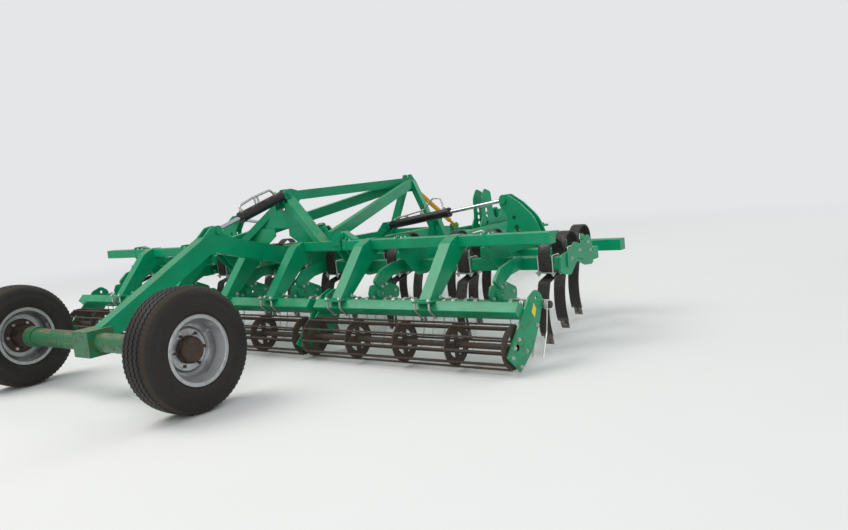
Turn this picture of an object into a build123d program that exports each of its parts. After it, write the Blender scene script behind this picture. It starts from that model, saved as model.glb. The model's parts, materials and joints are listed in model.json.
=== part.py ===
from build123d import *
import math
import os

# Trailed folding cultivator, in millimetres. +X is the way it travels, +Y its left side, +Z up.
# It stands parked: transport wheels down, swing stand down under the drawbar, wings unfolded.
# Places along the machine are measured from DATUM_X, which lies just behind the rear cross beam.

# Rows of spring tines and the square bars that carry them
BAR = 90.0                       # toolbar section
BAR_Z = 585.0                    # toolbar centre height
ROW_X = (1150.0, 1650.0, 2150.0)  # rear, middle and front toolbar
HALF_WIDTH = 2500.0              # centre line to the outer toolbar ends
REAR_GAP_Y = 200.0               # rear toolbar stops here, the lift arm works between

# Rear cross beam that carries the roller arms
BEAM = 80.0
BEAM_X = 900.0
BEAM_Z = 785.0
BEAM_INNER_Y = 225.0
WALL = 6.0                       # wall of every hollow section that is open to view

# Wing hinges
HINGE_Y = 740.0
HINGE_Z = 866.0
HINGE_GAP = 6.0                  # between the centre frame and a wing, each side of the axis
HINGE_PIN_R = 16.0
HINGE_BARREL_R = 30.0
HINGE_X = (900.0, 2150.0)        # rear and front hinge stations
KNUCKLE = 60.0                   # length of the wing's knuckle
LUG = 16.0                       # thickness of the frame's lugs
PIN_CLEAR = 0.3                  # radial clearance at every pin
SIDE_CLEAR = 1.0                 # clearance beside knuckles and eyes

# Lengthwise members on top of the toolbars
SPINE_Y = 270.0
SPINE_W = 80.0
SPINE_TOP = 750.0
SPINE_FRONT_X = 2790.0
CROSS_X = 1460.0
WING_RAIL_Y = (1155.0, 1900.0)
RAIL = 80.0
PLATE = 12.0                     # flat plate used for fins, lugs and end plates

# Fins that tie the rear cross beam to the rear toolbar
CENTRE_FIN_Y = (700.0,)
WING_FIN_Y = (790.0, 1300.0, 2060.0)

# Roller, its square carrying beam and its arms
CARRIER = 80.0                   # square tube turned on its corner
CARRIER_X = 500.0
CARRIER_Z = 378.0
ROLLER_X = 420.0
ROLLER_Z = 166.0
ROLLER_R = 145.0
ROLLER_BAR = 14.0
ROLLER_BARS = 10
ROLLER_SHAFT_R = 20.0
ROLLER_DISC = 8.0
DISC_PITCH = 420.0               # spacing aimed at between roller discs
END_CLEAR = 14.0                 # between a roller's end disc and its end plate
ARM_W = 90.0
ARM_CENTRE_Y = 280.0
ARM_WING_Y = (1000.0, 1800.0)
ROLLER_END_Y = 2500.0

# Spring tines: one flat band looped round the toolbar and drawn down into a curved shank
BAND = 80.0
BAND_T = 12.0
LOOP_R = 105.0
SHANK_R = 450.0
SHANK_START = 150.0              # degrees round the loop where the shank leaves it
TIP_Z = 62.0
POINT_L = 70.0
POINT_T = 8.0
# one row per toolbar, from the rear: places of the tines, centre line to the wing's end
TINE_Y = (
    ((380.0,), (1040.0, 1710.0, 2380.0)),
    ((150.0, 600.0), (930.0, 1490.0, 2250.0)),
    ((380.0,), (930.0, 1300.0, 2120.0)),
)

# Levelling row of double spring fingers
COMB_X = 805.0
COMB_Z = 362.0
COMB_R = 24.0
COMB_END_Y = 2560.0
COMB_INNER_Y = 800.0
FINGER_R = 5.0
FINGER_GAP = 80.0
FINGER_PITCH = 180.0
FINGER_COIL_R = 34.0
FINGER_COIL_W = 26.0
COMB_ARM_Y = (320.0, 1150.0, 2190.0)

# Wheels on a cross tube at the tail of the lift arm
TYRE_R = 380.0
TYRE_W = 264.0
RIM_R = 212.0                    # outer edge of the rim flange
RIM_SEAT_R = 194.0
RIM_W = 230.0
WHEEL_Y = 1020.0
HUB_R = 82.0
HUB_FLANGE_R = 125.0
STUD_PCD_R = 102.0
STUDS = 6
STUD_R = 10.0
SPINDLE_R = 30.0
AXLE_R = 64.0
AXLE_HALF = 790.0
WHEEL_Z = TYRE_R                 # the wheels stand on the floor

# Cranked lift arm, drawn as it stands in work and then let down onto the wheels
ARM_PIVOT = (1330.0, 672.0)
ARM_TAIL = (-870.0, 695.0)
ARM_CREST = (190.0, 1065.0)
ARM_BEND = (1030.0, 745.0)
ARM_DEPTH = 130.0
ARM_THICK = 100.0
ARM_HUB_R = 62.0
ARM_PIN_R = 30.0
ARM_HUB_HALF = 194.0
ARM_LIFT_PIN = (310.0, 1148.0)

# Lift cylinder from the rear tower down to the crest of the arm
LIFT_BASE = (1030.0, 1225.0)
LIFT_BARREL_R = 43.0
LIFT_BORE_R = 34.0
LIFT_ROD_R = 19.0
LIFT_BARREL_END = 525.0
EYE_R = 34.0
EYE_W = 48.0
EYE_PIN_R = 16.0
LIFT_ROD_IN = 445.0              # eye to the hidden end of the rod

# Wing fold cylinders
FOLD_X = 1870.0
FOLD_BASE = (400.0, 850.0)       # Y and Z of the pin on the centre frame
FOLD_PIN = (1650.0, 1005.0)      # Y and Z of the pin in the wing's horn
FOLD_BARREL_R = 37.0
FOLD_BORE_R = 30.0
FOLD_ROD_R = 16.0
FOLD_BARREL_END = 690.0
FOLD_ROD_IN = 650.0
HORN_GAP = 56.0
HORN_T = 14.0

# Towers and the long top tube
REAR_TOWER_X = 1030.0
REAR_TOWER_Z = 1225.0
REAR_LEG_Y = 520.0
FRONT_TOWER_X = 2730.0
FRONT_TOWER_Z = 1235.0
FRONT_POST_Y = 270.0
BRACE_FOOT_Y = 610.0
CROSS_HALF = 540.0
TOP_TUBE = 80.0

# Drawbar, swing stand and hitch yoke
DRAW_X = 2880.0
DRAW_Y = 330.0
NOSE_X = 4560.0
NOSE_Y = 66.0
DRAW_H = 110.0
DRAW_W = 80.0
DRAW_Z = 585.0
STAND_PIVOT = (4470.0, 772.0)
STAND_R = 44.0
STAND_PIN_R = 16.0
STAND_PLATE_GAP = 100.0
KING_X = 4640.0
KING_R = 25.0
SHAFT_X = 4770.0
SHAFT_Z = 545.0
SHAFT_R = 32.0
SHAFT_HALF = 412.0
LINK_PIN_R = 14.2
LINK_PIN_L = 60.0
TURNBUCKLE_TOP = (2810.0, 1165.0)
TURNBUCKLE_FOOT = (3500.0, 700.0)
TURNBUCKLE_R = 24.0

SIDES = (("left", 1.0), ("right", -1.0))


def turned(point, pivot, degrees):
    """An (x, z) point turned about a cross pin, tail up for positive degrees."""
    a = math.radians(degrees)
    dx = point[0] - pivot[0]
    dz = point[1] - pivot[1]
    return (pivot[0] + dx * math.cos(a) + dz * math.sin(a),
            pivot[1] - dx * math.sin(a) + dz * math.cos(a))


ARM_LENGTH = math.dist(ARM_PIVOT, ARM_TAIL)
ARM_DROP = math.degrees(math.asin((ARM_PIVOT[1] - WHEEL_Z) / ARM_LENGTH)
                        + math.asin((ARM_TAIL[1] - ARM_PIVOT[1]) / ARM_LENGTH))
AXLE_X, AXLE_Z = turned(ARM_TAIL, ARM_PIVOT, -ARM_DROP)
LIFT_PIN = turned(ARM_LIFT_PIN, ARM_PIVOT, -ARM_DROP)
FRONT_X = SHAFT_X + SHAFT_R
REAR_X = AXLE_X - TYRE_R
DATUM_X = (FRONT_X + REAR_X) / 2
HINGE_IN = HINGE_Y - HINGE_GAP
HINGE_OUT = HINGE_Y + HINGE_GAP


def block(x0, x1, y0, y1, z0, z1):
    """A straight block between six planes."""
    size = (abs(x1 - x0), abs(y1 - y0), abs(z1 - z0))
    return Pos((x0 + x1) / 2, (y0 + y1) / 2, (z0 + z1) / 2) * Box(*size)


def round_bar(start, end, radius):
    """A round bar between two points."""
    a = Vector(*start)
    way = Vector(*end) - a
    return Solid.make_cylinder(radius, way.length, Plane(origin=a, z_dir=way))


def cross_pin(x, y0, y1, z, radius):
    """A round bar across the machine."""
    return round_bar((x, min(y0, y1), z), (x, max(y0, y1), z), radius)


def ring(start, end, outer, inner):
    """A round tube between two points."""
    return round_bar(start, end, outer) - round_bar(start, end, inner)


def square_bar(start, end, width, height, side=(0, 1, 0)):
    """A rectangular bar between two points, width along side."""
    a = Vector(*start)
    way = Vector(*end) - a
    frame = Plane(origin=a, x_dir=Vector(*side), z_dir=way)
    return extrude(frame * Rectangle(width, height), way.length)


def lengthwise_plate(points, radii, y, thickness):
    """A flat plate with an (x, z) outline, centred on y."""
    wire = FilletPolyline(*[(px, y - thickness / 2, pz) for px, pz in points],
                          radius=list(radii), close=True)
    return Solid.extrude(Face(Wire(wire.edges())), Vector(0, thickness, 0))


def crosswise_plate(points, radii, x, thickness):
    """A flat plate with a (y, z) outline, centred on x."""
    wire = FilletPolyline(*[(x - thickness / 2, py, pz) for py, pz in points],
                          radius=list(radii), close=True)
    return Solid.extrude(Face(Wire(wire.edges())), Vector(thickness, 0, 0))


def fused(pieces):
    """All the pieces as one shape."""
    shape = pieces[0]
    for piece in pieces[1:]:
        shape = shape + piece
    return shape


def on_side(shape, sign):
    """The shape as built for the left, or its mirror image for the right."""
    return shape if sign > 0 else mirror(shape, about=Plane.XZ)


def toolbar(x, y0, y1):
    """One square toolbar with a slight round on its four long edges."""
    bar = block(x - BAR / 2, x + BAR / 2, y0, y1, BAR_Z - BAR / 2, BAR_Z + BAR / 2)
    return fillet(bar.edges().filter_by(Axis.Y), 8)


BAR_TOP = BAR_Z + BAR / 2
BAR_LOW = BAR_Z - BAR / 2


def centre_bars():
    """The centre frame's toolbars, the two spines on top of them and their cross members."""
    rear, middle, front = ROW_X
    pieces = [toolbar(middle, -HINGE_IN, HINGE_IN), toolbar(front, -HINGE_IN, HINGE_IN)]
    for _, s in SIDES:
        pieces.append(toolbar(rear, s * REAR_GAP_Y, s * HINGE_IN))
        y = s * SPINE_Y
        pieces.append(block(BEAM_X + BEAM / 2, SPINE_FRONT_X, y - SPINE_W / 2, y + SPINE_W / 2,
                            BAR_TOP, SPINE_TOP))
        pieces.append(cross_pin(ARM_PIVOT[0], y - s * SPINE_W / 2, s * REAR_GAP_Y, ARM_PIVOT[1], ARM_HUB_R))
    pieces.append(block(CROSS_X - 36, CROSS_X + 36, -CROSS_HALF, CROSS_HALF, BAR_TOP + 20, SPINE_TOP))
    pieces.append(block(SPINE_FRONT_X - 70, SPINE_FRONT_X, -430, 430, BAR_LOW, SPINE_TOP))
    return fused(pieces) - arm_pin()


def arm_pin():
    """The cross pin that the lift arm swings on."""
    end = SPINE_Y + SPINE_W / 2 + 20
    return cross_pin(ARM_PIVOT[0], -end, end, ARM_PIVOT[1], ARM_PIN_R)


def fin(y):
    """A plate with a curved rear edge, from over the cross beam down to the rear toolbar."""
    x = BEAM_X - BEAM / 2 - 2
    nose = ROW_X[0] + BAR / 2 + 14
    outline = ((x, BEAM_Z + 62), (x + 130, BEAM_Z + 62), (nose, BAR_TOP + 60), (nose, BAR_LOW - 22),
               (nose - 130, BAR_LOW - 22), (x + 62, BEAM_Z - 130), (x, BEAM_Z - 40))
    return lengthwise_plate(outline, (18, 40, 40, 16, 60, 160, 30), y, PLATE)


def carrier_beam(y0, y1):
    """The square roller beam, turned on its corner."""
    return Pos(CARRIER_X, y0, CARRIER_Z) * Rot(-90, 0, 0) * Rot(0, 0, 45) * Box(
        CARRIER, CARRIER, y1 - y0, align=(Align.CENTER, Align.CENTER, Align.MIN))


def roller_arm(y):
    """A cranked box arm: out of the cross beam, then down and back to its foot on the carrier."""
    foot_z = CARRIER_Z + CARRIER * math.sqrt(2) / 2 + 4
    heel = (CARRIER_X + 26, foot_z)
    top = BEAM_Z + BEAM / 2
    outline = ((BEAM_X - 40, top + 4), (BEAM_X + 60, top + 4), (BEAM_X + 60, BEAM_Z - 44),
               (BEAM_X - 10, BEAM_Z - 100), (heel[0] + 62, heel[1]), (heel[0] - 62, heel[1]),
               (BEAM_X - 132, top - 34))
    body = lengthwise_plate(outline, (20, 12, 12, 60, 4, 4, 60), y, ARM_W)
    sole = block(CARRIER_X - 78, CARRIER_X + 98, y - ARM_W / 2 - 28, y + ARM_W / 2 + 28,
                 foot_z - PLATE, foot_z)
    return body + sole - carrier_beam(y - ARM_W, y + ARM_W)


def hinge_lugs(x):
    """A pair of lugs with their pin on the left edge of the centre frame."""
    pieces = []
    for s in (-1, 1):
        cx = x + s * (KNUCKLE / 2 + SIDE_CLEAR + LUG / 2)
        base = BEAM_Z if x < ROW_X[0] else BAR_Z
        low = HINGE_Z - HINGE_BARREL_R
        outline = ((HINGE_IN - 84, base), (HINGE_IN, base), (HINGE_IN, low),
                   (HINGE_Y + HINGE_BARREL_R, low), (HINGE_Y + HINGE_BARREL_R, HINGE_Z + HINGE_BARREL_R),
                   (HINGE_Y - 34, HINGE_Z + HINGE_BARREL_R), (HINGE_IN - 84, base + 60))
        pieces.append(crosswise_plate(outline, (0, 0, 0, 24, 24, 22, 20), cx, LUG))
    half = KNUCKLE / 2 + SIDE_CLEAR + LUG + 8
    pieces.append(round_bar((x - half, HINGE_Y, HINGE_Z), (x + half, HINGE_Y, HINGE_Z), HINGE_PIN_R))
    return pieces


def wing_knuckle(x):
    """The wing's knuckle and the web that carries it, on the left."""
    base = BEAM_Z if x < ROW_X[0] else BAR_Z
    outline = ((HINGE_OUT + 4, base), (HINGE_OUT + 120, base), (HINGE_OUT + 120, base + 50),
               (HINGE_Y + 20, HINGE_Z + HINGE_BARREL_R - 2), (HINGE_Y - 5, HINGE_Z + HINGE_BARREL_R - 2),
               (HINGE_Y - 5, HINGE_Z - 20))
    web = crosswise_plate(outline, (0, 0, 20, 10, 0, 0), x, KNUCKLE)
    eye = round_bar((x - KNUCKLE / 2, HINGE_Y, HINGE_Z), (x + KNUCKLE / 2, HINGE_Y, HINGE_Z), HINGE_BARREL_R)
    bore = round_bar((x - 60, HINGE_Y, HINGE_Z), (x + 60, HINGE_Y, HINGE_Z), HINGE_PIN_R + PIN_CLEAR)
    return web + eye - bore


def rear_beam_centre():
    """The two short centre lengths of the rear cross beam with fins, roller arms and hinge lugs."""
    half = []
    beam = block(BEAM_X - BEAM / 2, BEAM_X + BEAM / 2, BEAM_INNER_Y, HINGE_IN,
                 BEAM_Z - BEAM / 2, BEAM_Z + BEAM / 2)
    half.append(fillet(beam.edges().filter_by(Axis.Y), 8))
    half.extend(fin(y) for y in CENTRE_FIN_Y)
    half.append(roller_arm(ARM_CENTRE_Y))
    half.extend(hinge_lugs(HINGE_X[0]))
    left = fused(half) - centre_bars()
    return [left, mirror(left, about=Plane.XZ)]


def front_hinge_centre():
    """Lugs and pin of the front wing hinges, standing on the front toolbar's ends."""
    left = fused(hinge_lugs(HINGE_X[1])) - centre_bars()
    return [left, mirror(left, about=Plane.XZ)]


def rear_tower():
    """Two splayed legs, a trapezoid web between them and the twin lugs of the lift cylinder."""
    foot_z = BEAM_Z + BEAM / 2
    top = (REAR_TOWER_X + 20, 0, REAR_TOWER_Z - 30)
    pieces = []
    for _, s in SIDES:
        foot = (BEAM_X, s * REAR_LEG_Y, foot_z - 30)
        pieces.append(square_bar(top, foot, 90, 60, side=(1, 0, 0.2)))
        pieces.append(lengthwise_plate(
            ((REAR_TOWER_X - 46, REAR_TOWER_Z - 40), (REAR_TOWER_X - 38, REAR_TOWER_Z + 40),
             (REAR_TOWER_X + 40, REAR_TOWER_Z + 44), (REAR_TOWER_X + 130, REAR_TOWER_Z + 20),
             (REAR_TOWER_X + 130, REAR_TOWER_Z - 60), (REAR_TOWER_X + 20, REAR_TOWER_Z - 150)),
            (30, 36, 36, 20, 20, 20), s * (EYE_W / 2 + SIDE_CLEAR + PLATE / 2), PLATE))
    web_x = BEAM_X + 66
    pieces.append(crosswise_plate(((-330, 945), (330, 945), (95, 1150), (-95, 1150)), (0, 0, 0, 0), web_x, PLATE))
    keep = block(-5000, 5000, -3000, 3000, foot_z, 3000)
    eye_room = cross_pin(LIFT_BASE[0], -EYE_W / 2 - SIDE_CLEAR, EYE_W / 2 + SIDE_CLEAR, LIFT_BASE[1], EYE_R + 26)
    barrel_room = block(LIFT_BASE[0] - 300, LIFT_BASE[0] + 10, -60, 60, LIFT_BASE[1] - 130, LIFT_BASE[1] + 100)
    body = fused(pieces) & keep
    slot = block(LIFT_BASE[0] - 300, LIFT_BASE[0] + 54, -EYE_W / 2 - SIDE_CLEAR, EYE_W / 2 + SIDE_CLEAR,
                 LIFT_BASE[1] - 120, LIFT_BASE[1] + 100)
    body = body - eye_room - slot
    pin = cross_pin(LIFT_BASE[0], -EYE_W / 2 - 30, EYE_W / 2 + 30, LIFT_BASE[1], EYE_PIN_R)
    return body + pin - barrel_room + pin + lift_lugs()


def lift_lugs():
    """Twin lugs round the base eye of the lift cylinder."""
    pieces = []
    for _, s in SIDES:
        pieces.append(lengthwise_plate(
            ((REAR_TOWER_X - 42, REAR_TOWER_Z - 42), (REAR_TOWER_X - 42, REAR_TOWER_Z + 42),
             (REAR_TOWER_X + 60, REAR_TOWER_Z + 42), (REAR_TOWER_X + 60, REAR_TOWER_Z - 60)),
            (36, 36, 10, 10), s * (EYE_W / 2 + SIDE_CLEAR + PLATE / 2), PLATE))
    return fused(pieces)


def mast():
    """The front tower: two posts, two long braces, twin ears and the top tube to the rear tower."""
    pieces = []
    apex = (FRONT_TOWER_X, 0, FRONT_TOWER_Z)
    for _, s in SIDES:
        post_top = (apex[0] + 20, s * 40, apex[2] - 10)
        pieces.append(square_bar(post_top, (FRONT_TOWER_X + 10, s * FRONT_POST_Y, SPINE_TOP - 20), 60, 60))
        brace_top = (apex[0] - 20, s * 45, apex[2] - 30)
        pieces.append(square_bar(brace_top, (BEAM_X - 40, s * BRACE_FOOT_Y, BEAM_Z + BEAM / 2 + 20), 50, 90)
                      & block(BEAM_X, apex[0], -HINGE_Y, HINGE_Y, BEAM_Z + BEAM / 2, 2000))
        pieces.append(lengthwise_plate(
            ((apex[0] - 90, apex[2] - 70), (apex[0] - 20, apex[2] + 62), (apex[0] + 30, apex[2] + 62),
             (apex[0] + 120, apex[2] - 50), (apex[0] + 100, apex[2] - 110), (apex[0] - 60, apex[2] - 110)),
            (20, 20, 20, 30, 20, 20), s * (EYE_W / 2 + SIDE_CLEAR + PLATE / 2), PLATE))
    rear_end = (REAR_TOWER_X + 60, 0, REAR_TOWER_Z - 18)
    pieces.append(square_bar(rear_end, (apex[0] - 30, 0, apex[2] - 10), TOP_TUBE, TOP_TUBE))
    keep = block(-5000, 5000, -3000, 3000, SPINE_TOP, 3000)
    gap = block(apex[0] + 40, apex[0] + 200, -EYE_W / 2 - SIDE_CLEAR, EYE_W / 2 + SIDE_CLEAR, 900, 1400)
    return (fused(pieces) & keep) - gap - rear_tower() - turnbuckle_pin(TURNBUCKLE_TOP)


def drawbar():
    """An A of two box members meeting at the nose, with the holed stand plates."""
    pieces = [block(SPINE_FRONT_X, DRAW_X, -DRAW_Y - 80, DRAW_Y + 80, DRAW_Z - DRAW_H / 2, DRAW_Z + DRAW_H / 2)]
    inner = STAND_PLATE_GAP / 2
    for _, s in SIDES:
        pieces.append(square_bar((DRAW_X - 40, s * DRAW_Y, DRAW_Z),
                                 (NOSE_X, s * (inner + DRAW_W / 2 + PLATE), DRAW_Z), DRAW_W, DRAW_H))
        plate_y = s * (inner + PLATE / 2)
        outline = ((3930, DRAW_Z - 60), (KING_X - 90, DRAW_Z - 60), (KING_X - 90, DRAW_Z + 70),
                   (STAND_PIVOT[0] + 45, STAND_PIVOT[1] + 44), (STAND_PIVOT[0] - 50, STAND_PIVOT[1] + 44),
                   (STAND_PIVOT[0] - 150, DRAW_Z + 90), (4230, DRAW_Z + 150), (4200, 1015), (4080, 1060),
                   (4000, 960), (3990, DRAW_Z + 150), (3930, DRAW_Z + 60))
        plate = lengthwise_plate(outline, (10, 10, 30, 40, 40, 60, 90, 40, 40, 120, 60, 20), plate_y, PLATE)
        for hz in (660, 735, 812):
            plate = plate - cross_pin(4085, plate_y - 20, plate_y + 20, hz, 28)
        pieces.append(plate)
    pieces.append(block(3440, 3520, -230, 230, DRAW_Z - DRAW_H / 2, DRAW_Z + DRAW_H / 2))
    pieces.append(block(NOSE_X - 16, KING_X - 78, -130, 130, DRAW_Z - 60, DRAW_Z + 60))
    king = ring((KING_X, 0, DRAW_Z - 60), (KING_X, 0, DRAW_Z + 60), 52, KING_R + PIN_CLEAR)
    pieces.append(block(KING_X - 90, KING_X, -50, 50, DRAW_Z - 60, DRAW_Z + 60)
                  - round_bar((KING_X, 0, 0), (KING_X, 0, 900), KING_R + PIN_CLEAR))
    pieces.append(king)
    pieces.append(cross_pin(STAND_PIVOT[0], -inner - PLATE - 8, inner + PLATE + 8, STAND_PIVOT[1], STAND_PIN_R))
    for _, s in SIDES:
        pieces.append(lengthwise_plate(
            ((3445, 630), (3515, 630), (3515, 715), (3485, 735), (3445, 700)), (0, 0, 12, 12, 12),
            s * (EYE_W / 2 + SIDE_CLEAR + PLATE / 2), PLATE))
    return fused(pieces) - turnbuckle_pin(TURNBUCKLE_FOOT)


def turnbuckle_pin(place):
    """The cross pin through an eye of the turnbuckle."""
    reach = EYE_W / 2 + SIDE_CLEAR + PLATE + 12
    return cross_pin(place[0], -reach, reach, place[1], 13)


def turnbuckle():
    """A threaded tube with an eye at each end, from the front tower down to the drawbar."""
    top = (TURNBUCKLE_TOP[0], 0, TURNBUCKLE_TOP[1])
    foot = (TURNBUCKLE_FOOT[0], 0, TURNBUCKLE_FOOT[1])
    way = Vector(*foot) - Vector(*top)
    unit = way / way.length
    a = Vector(*top) + unit * 110
    b = Vector(*foot) - unit * 110
    pieces = [round_bar(tuple(a), tuple(b), TURNBUCKLE_R), round_bar(top, foot, 14)]
    for x, _, z in (top, foot):
        pieces.append(cross_pin(x, -EYE_W / 2, EYE_W / 2, z, 26))
        pieces.append(turnbuckle_pin((x, z)))
    return fused(pieces)


def parking_stand():
    """A round leg with a flat foot, swung on a cross pin between the drawbar plates."""
    x, z = STAND_PIVOT
    leg = round_bar((x, 0, 12), (x, 0, z + 20), STAND_R)
    foot = extrude(Pos(x, 0, 0) * Rectangle(150, 150), 12)
    foot = fillet(foot.edges().filter_by(Axis.Z), 20)
    return leg + foot - cross_pin(x, -200, 200, z, STAND_PIN_R + PIN_CLEAR)


def hitch_yoke():
    """A fork on the king pin with the cross shaft for the lower links."""
    fork_z = 60 + SIDE_CLEAR
    pieces = []
    for s in (-1, 1):
        z = DRAW_Z + s * (fork_z + 10)
        pieces.append(extrude(Pos(0, 0, z - 10) * Plane.XY * make_face_xy(
            ((KING_X - 50, -55), (KING_X + 60, -80), (SHAFT_X + 10, -150), (SHAFT_X + 10, 150),
             (KING_X + 60, 80), (KING_X - 50, 55)), (40, 20, 10, 10, 20, 40)), 20))
    pieces.append(round_bar((KING_X, 0, DRAW_Z - 100), (KING_X, 0, DRAW_Z + 110), KING_R))
    pieces.append(block(SHAFT_X - 30, SHAFT_X + 10, -150, 150, DRAW_Z - 81, DRAW_Z + 81))
    pieces.append(cross_pin(SHAFT_X, -SHAFT_HALF, SHAFT_HALF, SHAFT_Z, SHAFT_R))
    end = SHAFT_HALF + LINK_PIN_L
    pieces.append(cross_pin(SHAFT_X, -end, end, SHAFT_Z, LINK_PIN_R))
    return fused(pieces)


def make_face_xy(points, radii):
    """A flat face with rounded corners in the ground plane."""
    wire = FilletPolyline(*[(px, py, 0) for px, py in points], radius=list(radii), close=True)
    return Face(Wire(wire.edges()))


def lift_arm():
    """The cranked arm as built in its working place: box body, pivot hub and crest lugs."""
    half = ARM_DEPTH / 2
    tail, crest, bend, pivot = ARM_TAIL, ARM_CREST, ARM_BEND, ARM_PIVOT
    outline = ((tail[0], tail[1] + half), (crest[0] - 20, crest[1] + half + 6), (crest[0] + 90, crest[1] + half - 4),
               (bend[0], bend[1] + half), (pivot[0], pivot[1] + ARM_HUB_R - 6), (pivot[0], pivot[1] - ARM_HUB_R + 6),
               (bend[0] + 40, bend[1] - half - 40), (crest[0] + 60, crest[1] - half - 6),
               (crest[0] - 10, crest[1] - half - 6), (tail[0], tail[1] - half))
    body = lengthwise_plate(outline, (0, 30, 40, 300, 0, 0, 200, 60, 60, 0), 0, ARM_THICK)
    hub = cross_pin(pivot[0], -ARM_HUB_HALF, ARM_HUB_HALF, pivot[1], ARM_HUB_R)
    pieces = [body, hub]
    px, pz = ARM_LIFT_PIN
    for _, s in SIDES:
        y = s * (EYE_W / 2 + 4 + 8)
        pieces.append(lengthwise_plate(
            ((crest[0] - 110, crest[1] + 20), (px - 60, pz + 44), (px + 34, pz + 44), (px + 44, pz - 30),
             (crest[0] + 240, crest[1] - 10)), (10, 40, 34, 30, 10), y, 16))
        pieces.append(cross_pin(px, y + s * 8, y + s * 22, pz, 26))
    bore = cross_pin(pivot[0], -400, 400, pivot[1], ARM_PIN_R + PIN_CLEAR)
    eye_room = cross_pin(px, -EYE_W / 2 - 4, EYE_W / 2 + 4, pz, EYE_R + 16)
    rod_room = block(px, px + 400, -EYE_W / 2 - 4, EYE_W / 2 + 4, pz - 34, pz + 100)
    arm = fused(pieces) - bore - eye_room - rod_room
    return let_down(arm)


def let_down(shape):
    """The shape turned about the arm's pivot from its working place onto the wheels."""
    place = Pos(ARM_PIVOT[0], 0, ARM_PIVOT[1])
    return place * Rot(0, -ARM_DROP, 0) * place.inverse() * shape


def axle_tube():
    """The cross tube with a clamp at its middle, wheel collars and spindles."""
    x, z = AXLE_X, AXLE_Z
    pieces = [cross_pin(x, -AXLE_HALF, AXLE_HALF, z, AXLE_R)]
    for _, s in SIDES:
        pieces.append(cross_pin(x, s * (AXLE_HALF - 60), s * (AXLE_HALF + 40), z, AXLE_R + 12))
        pieces.append(cross_pin(x, s * AXLE_HALF, s * (WHEEL_Y + 60), z, SPINDLE_R))
    pieces.append(block(x - 95, x + 95, -95, 95, z - 88, z + 88))
    return fused(pieces) - lift_arm()


def tyre(sign):
    """An implement tyre: rounded tread shoulders, bulging walls and a bead on the rim."""
    half = TYRE_W / 2
    profile = ((RIM_SEAT_R, half - 24), (RIM_SEAT_R + 40, half - 10), (RIM_SEAT_R + 95, half),
               (TYRE_R - 52, half - 6), (TYRE_R - 14, half - 34), (TYRE_R, half - 70))
    points = [(r, w) for r, w in profile] + [(r, -w) for r, w in reversed(profile)]
    inner = [(RIM_SEAT_R, -half + 44), (RIM_SEAT_R + 90, -half + 20), (TYRE_R - 40, -half + 60),
             (TYRE_R - 40, half - 60), (RIM_SEAT_R + 90, half - 20), (RIM_SEAT_R, half - 44)]
    radii = (0, 0, 40, 30, 30, 0, 0, 30, 30, 40, 0, 0, 0, 30, 20, 20, 30, 0)
    wire = FilletPolyline(*[(0, w, r) for r, w in points + inner], radius=list(radii), close=True)
    body = Solid.revolve(Face(Wire(wire.edges())), 360, Axis((0, 0, 0), (0, 1, 0)))
    return Pos(AXLE_X, sign * WHEEL_Y, AXLE_Z) * body - rim(sign)


def studs(sign, radius):
    """The wheel studs, through the disc and into the hub's flange."""
    y = sign * WHEEL_Y
    bars = []
    for k in range(STUDS):
        a = math.tau * k / STUDS
        x = AXLE_X + STUD_PCD_R * math.cos(a)
        z = AXLE_Z + STUD_PCD_R * math.sin(a)
        bars.append(cross_pin(x, y - sign * 22, y + sign * 30, z, radius))
    return bars


def rim(sign):
    """A pressed rim: flanged barrel, dished disc with six studs and an open centre."""
    half = RIM_W / 2
    t = 8.0
    outer = ((RIM_R, half), (RIM_R, half - t), (RIM_SEAT_R + 4, half - t - 8), (RIM_SEAT_R, half - 40),
             (RIM_SEAT_R - 24, half - 66), (RIM_SEAT_R - 24, -half + 66), (RIM_SEAT_R, -half + 40),
             (RIM_SEAT_R + 4, -half + t + 8), (RIM_R, -half + t), (RIM_R, -half),
             (RIM_SEAT_R - 4, -half), (RIM_SEAT_R - 34, -half + 60), (RIM_SEAT_R - 34, -20),
             (HUB_FLANGE_R, -20), (HUB_FLANGE_R - 4, -4), (HUB_R + 2, -4), (HUB_R + 2, 6),
             (HUB_FLANGE_R, 6), (HUB_FLANGE_R + 14, -8), (RIM_SEAT_R - 34, -8),
             (RIM_SEAT_R - 34, half - 60), (RIM_SEAT_R - 4, half))
    radii = (3, 3, 8, 4, 8, 8, 4, 8, 3, 3, 6, 10, 4, 4, 2, 0, 0, 4, 6, 4, 10, 6)
    wire = FilletPolyline(*[(0, w, r) for r, w in outer], radius=list(radii), close=True)
    body = Solid.revolve(Face(Wire(wire.edges())), 360, Axis((0, 0, 0), (0, 1, 0)))
    wheel = Pos(AXLE_X, sign * WHEEL_Y, AXLE_Z) * (Rot(0, 0, 0 if sign > 0 else 180) * body)
    return wheel - fused(studs(sign, STUD_R + PIN_CLEAR))


def hub(sign):
    """The bearing hub: a flange behind the disc, a domed cap in front and six studs."""
    y0 = sign * WHEEL_Y
    flange = cross_pin(AXLE_X, y0 - sign * 24, y0 - sign * 4, AXLE_Z, HUB_FLANGE_R)
    barrel = cross_pin(AXLE_X, y0 - sign * 150, y0 + sign * 66, AXLE_Z, HUB_R)
    barrel = fillet(barrel.edges().filter_by(GeomType.CIRCLE).sort_by(Axis.Y)[-1 if sign > 0 else 0], 34)
    body = fused([flange - rim(sign), barrel] + studs(sign, STUD_R))
    bore = cross_pin(AXLE_X, y0 - sign * 160, y0 + sign * 62, AXLE_Z, SPINDLE_R + PIN_CLEAR)
    return body - bore


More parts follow.
